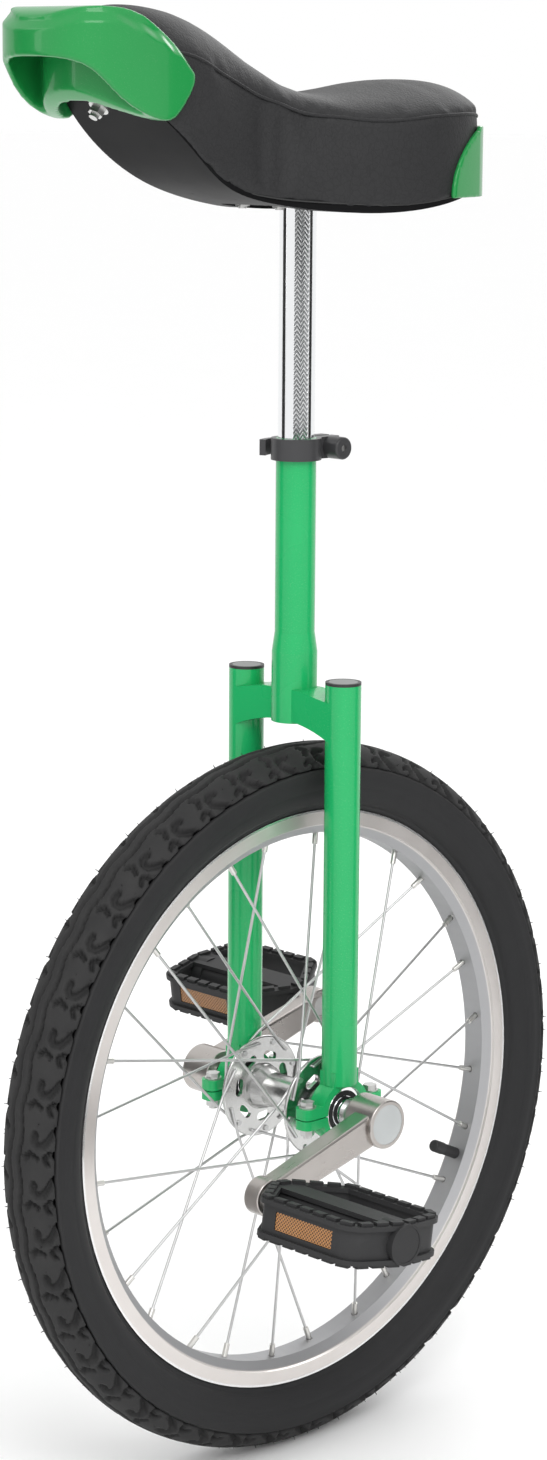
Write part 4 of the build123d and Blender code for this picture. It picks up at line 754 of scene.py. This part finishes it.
class UNICYCLE_OT_saddle(bpy.types.Operator):
    """Make the padded saddle, its piping and the cover's lower edge."""
    bl_idname = "unicycle.saddle"
    bl_label = "Saddle"

    def execute(self, context):
        settings = context.scene.unicycle_saddle
        outline = Outline()
        block = merged_copy("saddle_cover", "saddle_foam", "saddle_base")
        saddle = add_piece("padded_saddle", block, "saddle_vinyl", "seat", ["saddle_cover", "saddle_foam"])
        modifier(saddle, "REMESH", mode="VOXEL", voxel_size=settings.voxel)
        apply_modifiers(saddle)
        mesh = saddle.data
        for vert in mesh.vertices:
            vert.co = outline.crowned(vert.co)
        modifier(saddle, "SMOOTH", factor=0.5, iterations=3)
        apply_modifiers(saddle)
        mesh = saddle.data
        still = [vert.co.copy() for vert in mesh.vertices]
        self.inflate(context, saddle, still, settings)
        mesh = saddle.data
        for vert, start in zip(mesh.vertices, still):
            move = vert.co - start
            if move.length > settings.swell:
                move *= settings.swell / move.length
            vert.co = start + move * (1.0 - saddle_guard(start))
        self.trim_floor(mesh, outline)
        modifier(saddle, "SUBSURF", levels=1, render_levels=1)
        apply_modifiers(saddle)
        saddle.data.shade_smooth()
        self.press_seam(saddle.data, outline)
        saddle.data.materials.clear()
        saddle.data.materials.append(finish("saddle_vinyl"))
        surface = BVHTree.FromObject(saddle, bpy.context.evaluated_depsgraph_get())
        self.loop("saddle_piping", surface, outline, self.seam_height,
                  settings.piping, "saddle_vinyl", 0.0002)
        self.loop("cover_edge", surface, outline, self.hem_height,
                  hem_radius, "cap_grey", 0.0001)
        return {"FINISHED"}

    def inflate(self, context, saddle, still, settings):
        """Runs the cloth with pressure inside it and keeps the result."""
        group = saddle.vertex_groups.new(name="held")
        for index, place in enumerate(still):
            group.add([index], saddle_guard(place), "REPLACE")
        cloth = modifier(saddle, "CLOTH")
        cloth.settings.use_pressure = True
        cloth.settings.uniform_pressure_force = 4.0
        cloth.settings.tension_stiffness = 30.0
        cloth.settings.compression_stiffness = 30.0
        cloth.settings.bending_stiffness = 2.0
        cloth.settings.mass = 0.3
        cloth.settings.vertex_group_mass = "held"
        cloth.settings.effector_weights.gravity = 0.0
        cloth.point_cache.frame_start = 1
        cloth.point_cache.frame_end = 20
        for number in range(1, 21):
            context.scene.frame_set(number)
        apply_modifiers(saddle)
        context.scene.frame_set(1)

    def trim_floor(self, mesh, outline):
        """Lifts the underside into the tray, so that only the cover's edge shows."""
        for vert in mesh.vertices:
            place = vert.co
            inside = (abs(place.x) < outline.width(place.y) - 0.008
                      and cover_low.y + 0.010 < place.y < cover_high.y - 0.010)
            lowest = outline.floor(place.y) + (0.0095 if inside else 0.0)
            place.z = max(place.z, lowest)

    def seam_height(self, outline, place):
        return outline.top(place.y) - between(place.y, crown_drops) - 0.003

    def hem_height(self, outline, place):
        return outline.floor(place.y) + 0.0012

    def around(self, outline, count=72):
        """Places round the plan outline, evenly turned about two centres."""
        places = []
        for index in range(count):
            turn = tau * index / count
            y = (cover_low.y + cover_high.y) / 2 - cos(turn) * (cover_high.y - cover_low.y - 0.002) / 2
            way = 1 if sin(turn) >= 0 else -1
            places.append(Vector((way * outline.width(y) * min(1.0, abs(sin(turn)) * 2.4), y, 0.0)))
        return places

    def loop(self, name, surface, outline, height, radius, slot, lift):
        points = []
        for place in self.around(outline):
            start = Vector((place.x, place.y, height(outline, place)))
            middle = Vector((0, max(-0.150, min(0.09, place.y)), start.z))
            way = (start - middle).normalized()
            hit, normal, _, _ = surface.ray_cast(start + way * 0.06, -way)
            if hit is not None:
                points.append(hit + normal * lift)
        return tube(name, points, radius, slot, "seat")

    def press_seam(self, mesh, outline):
        """A shallow valley each side of the piping."""
        for vert in mesh.vertices:
            place = vert.co
            away = abs(place.z - self.seam_height(outline, place))
            edge = abs(place.x) > outline.width(place.y) - 0.012 or place.y > cover_high.y - 0.02 \
                or place.y < cover_low.y + 0.02
            if edge and away < 0.006:
                inwards = Vector((-place.x, 0.02 - place.y if abs(place.y) > 0.12 else 0.0, 0)).normalized()
                vert.co = place + inwards * 0.0007 * (1 - away / 0.006) ** 2


# -------------------------------------------------------------------- bumpers
# Height of the crease below the front bumper's top edge, along the saddle.
bumper_crease = [(-0.242, 0.998), (-0.226, 1.004), (-0.208, 1.004), (-0.189, 0.998), (-0.1736, 0.992),
                 (-0.1595, 0.984), (-0.142, 0.972)]


class UNICYCLE_OT_bumpers(bpy.types.Operator):
    """Make the moulded front and rear bumpers, with softened edges."""
    bl_idname = "unicycle.bumpers"
    bl_label = "Bumpers"

    def execute(self, context):
        for node, voxel, rounds in (("front_bumper", 0.0013, 10), ("rear_bumper", 0.0011, 5)):
            block = merged_copy(node)
            piece = add_piece(node + "_moulded", block, "bumper_green", "seat", [node])
            modifier(piece, "REMESH", mode="VOXEL", voxel_size=voxel)
            modifier(piece, "SMOOTH", factor=0.5, iterations=rounds)
            apply_modifiers(piece)
            if node == "front_bumper":
                self.slope_shoulders(piece.data)
            else:
                self.wrap_further(piece.data)
            piece.data.materials.clear()
            piece.data.materials.append(finish("bumper_green"))
            piece.data.shade_smooth()
        return {"FINISHED"}


    def wrap_further(self, mesh):
        """Draws the rear bumper's ends forwards along the saddle's sides."""
        for vert in mesh.vertices:
            place = vert.co
            behind = 0.106 - place.y
            if behind > 0:
                side = 1 if place.x > 0 else -1
                place.x += side * min(0.0026, behind * behind * 2.6)
                place.y -= behind * 0.62

    def slope_shoulders(self, mesh):
        """Leans the bumper inwards above a crease that runs round it."""
        for vert in mesh.vertices:
            place = vert.co
            over = place.z - between(place.y, bumper_crease)
            if over > 0:
                side = 1 if place.x > 0 else -1
                lean = min(0.0045, over * 0.7)
                place.x -= side * lean * min(1.0, max(0.0, (abs(place.x) - 0.014) / 0.020))
                place.y += lean * 0.8 * min(1.0, max(0.0, (-0.205 - place.y) / 0.025))


# ------------------------------------------------------------------- finishes
class UNICYCLE_OT_finishes(bpy.types.Operator):
    """Give every CAD node the finish of its slot."""
    bl_idname = "unicycle.finishes"
    bl_label = "Finishes"

    def execute(self, context):
        slots = {row["node"]: row["material_slot"] for row in frame["record"]["subparts"]}
        for name, node in nodes.items():
            node.data.materials.clear()
            node.data.materials.append(finish(slots[name]))
        return {"FINISHED"}


# --------------------------------------------------------------------- studio
def soft_light(name, place, target, power, size):
    lamp = bpy.data.lights.new(name, "AREA")
    lamp.energy = power
    lamp.shape = "RECTANGLE"
    lamp.size, lamp.size_y = size
    holder = bpy.data.objects.new(name, lamp)
    holder.location = place
    holder.rotation_euler = (Vector(target) - Vector(place)).to_track_quat("-Z", "Y").to_euler()
    bpy.context.scene.collection.objects.link(holder)


class UNICYCLE_OT_studio(bpy.types.Operator):
    """Make the floor, backdrop, lights and camera."""
    bl_idname = "unicycle.studio"
    bl_label = "Studio"

    def execute(self, context):
        settings = context.scene.unicycle_studio
        sweep = bmesh.new()
        bmesh.ops.create_grid(sweep, x_segments=1, y_segments=1, size=45.0)
        mesh = bpy.data.meshes.new("studio_floor")
        sweep.to_mesh(mesh)
        sweep.free()
        floor = bpy.data.objects.new("studio_floor", mesh)
        context.scene.collection.objects.link(floor)
        shader = Shader("pale floor")
        mottle = shader.noise(3.0, 3.0)
        pale = tuple(settings.floor_colour)
        mesh.materials.append(shader.set(Base_Color=shader.mix(mottle, shade(pale, 0.993), pale),
                                         Roughness=0.75 + 0.1 * mottle))

        card = Shader("dark card")
        card.set(Base_Color=card.mix(card.noise(2.0), (0.010, 0.010, 0.010, 1), (0.014, 0.014, 0.014, 1)),
                 Roughness=0.9)
        across = Vector((0.695, 0.719, 0))
        for side in (1, -1):
            shape = bmesh.new()
            bmesh.ops.create_grid(shape, x_segments=1, y_segments=1, size=0.5)
            upwards = Vector((0, 0, 1))
            facing = Matrix((across.cross(upwards), upwards, across)).transposed().to_4x4()
            facing.translation = across * side * settings.card_distance + Vector((0, 0, 0.75))
            bmesh.ops.transform(shape, matrix=facing @ Matrix.Diagonal((0.45, 1.3, 1, 1)), verts=shape.verts)
            mesh = bpy.data.meshes.new("dark_card")
            shape.to_mesh(mesh)
            shape.free()
            holder = bpy.data.objects.new("dark_card", mesh)
            context.scene.collection.objects.link(holder)
            mesh.materials.append(card.material)

        sky = bpy.data.worlds.new("studio surroundings")
        sky.use_nodes = True
        sky.node_tree.nodes["Background"].inputs["Color"].default_value = (1.0, 1.0, 1.0, 1)
        sky.node_tree.nodes["Background"].inputs["Strength"].default_value = settings.sky_strength
        context.scene.world = sky

        soft_light("key", (1.9, -1.2, 2.6), (0, 0, 0.55), settings.key_power, (1.6, 1.6))
        soft_light("fill", (-2.0, -2.2, 1.6), (0, 0, 0.5), settings.fill_power, (1.5, 2.2))
        soft_light("back", (-1.0, 2.2, 2.2), (0, 0, 0.6), settings.fill_power, (1.4, 1.4))

        lens = bpy.data.cameras.new("camera")
        lens.lens = 83.78
        lens.sensor_width = 36.0
        lens.clip_end = 60.0
        camera = bpy.data.objects.new("camera", lens)
        turn, fall, roll = radians(46.01), radians(10.88), radians(0.40)
        forward = Vector((-sin(turn) * cos(fall), cos(turn) * cos(fall), -sin(fall)))
        level = Vector((cos(turn), sin(turn), 0))
        upright = level.cross(forward)
        right = level * cos(roll) + upright * sin(roll)
        up = upright * cos(roll) - level * sin(roll)
        pose = Matrix((right, up, -forward)).transposed().to_4x4()
        pose.translation = (1.6722, -1.6341, 0.9710)
        camera.matrix_world = pose
        context.scene.collection.objects.link(camera)
        context.scene.camera = camera
        context.scene.view_settings.view_transform = "Standard"
        return {"FINISHED"}


class UNICYCLE_PT_looks(bpy.types.Panel):
    """Sizes, colours and buttons of the unicycle's looks."""
    bl_idname = "UNICYCLE_PT_looks"
    bl_label = "Unicycle"
    bl_space_type = "VIEW_3D"
    bl_region_type = "UI"
    bl_category = "Unicycle"

    def draw(self, context):
        for group in ("unicycle_finish", "unicycle_tyre", "unicycle_saddle", "unicycle_studio"):
            settings = getattr(context.scene, group)
            box = self.layout.box()
            for key in settings.__annotations__:
                box.prop(settings, key)
        for operator in operators:
            self.layout.operator(operator.bl_idname)


groups = {
    "unicycle_finish": FinishSettings,
    "unicycle_tyre": TyreSettings,
    "unicycle_saddle": SaddleSettings,
    "unicycle_studio": StudioSettings,
}
operators = (UNICYCLE_OT_finishes, UNICYCLE_OT_tyre, UNICYCLE_OT_saddle, UNICYCLE_OT_bumpers,
             UNICYCLE_OT_studio)


def register():
    for name, group in groups.items():
        bpy.utils.register_class(group)
        setattr(bpy.types.Scene, name, PointerProperty(type=group))
    for operator in operators:
        bpy.utils.register_class(operator)
    bpy.utils.register_class(UNICYCLE_PT_looks)


def unregister():
    bpy.utils.unregister_class(UNICYCLE_PT_looks)
    for operator in reversed(operators):
        bpy.utils.unregister_class(operator)
    for name, group in groups.items():
        delattr(bpy.types.Scene, name)
        bpy.utils.unregister_class(group)


def main():
    register()
    bpy.ops.unicycle.finishes()
    bpy.ops.unicycle.tyre()
    bpy.ops.unicycle.saddle()
    bpy.ops.unicycle.bumpers()
    bpy.ops.unicycle.studio()


if __name__ == "__main__":
    main()
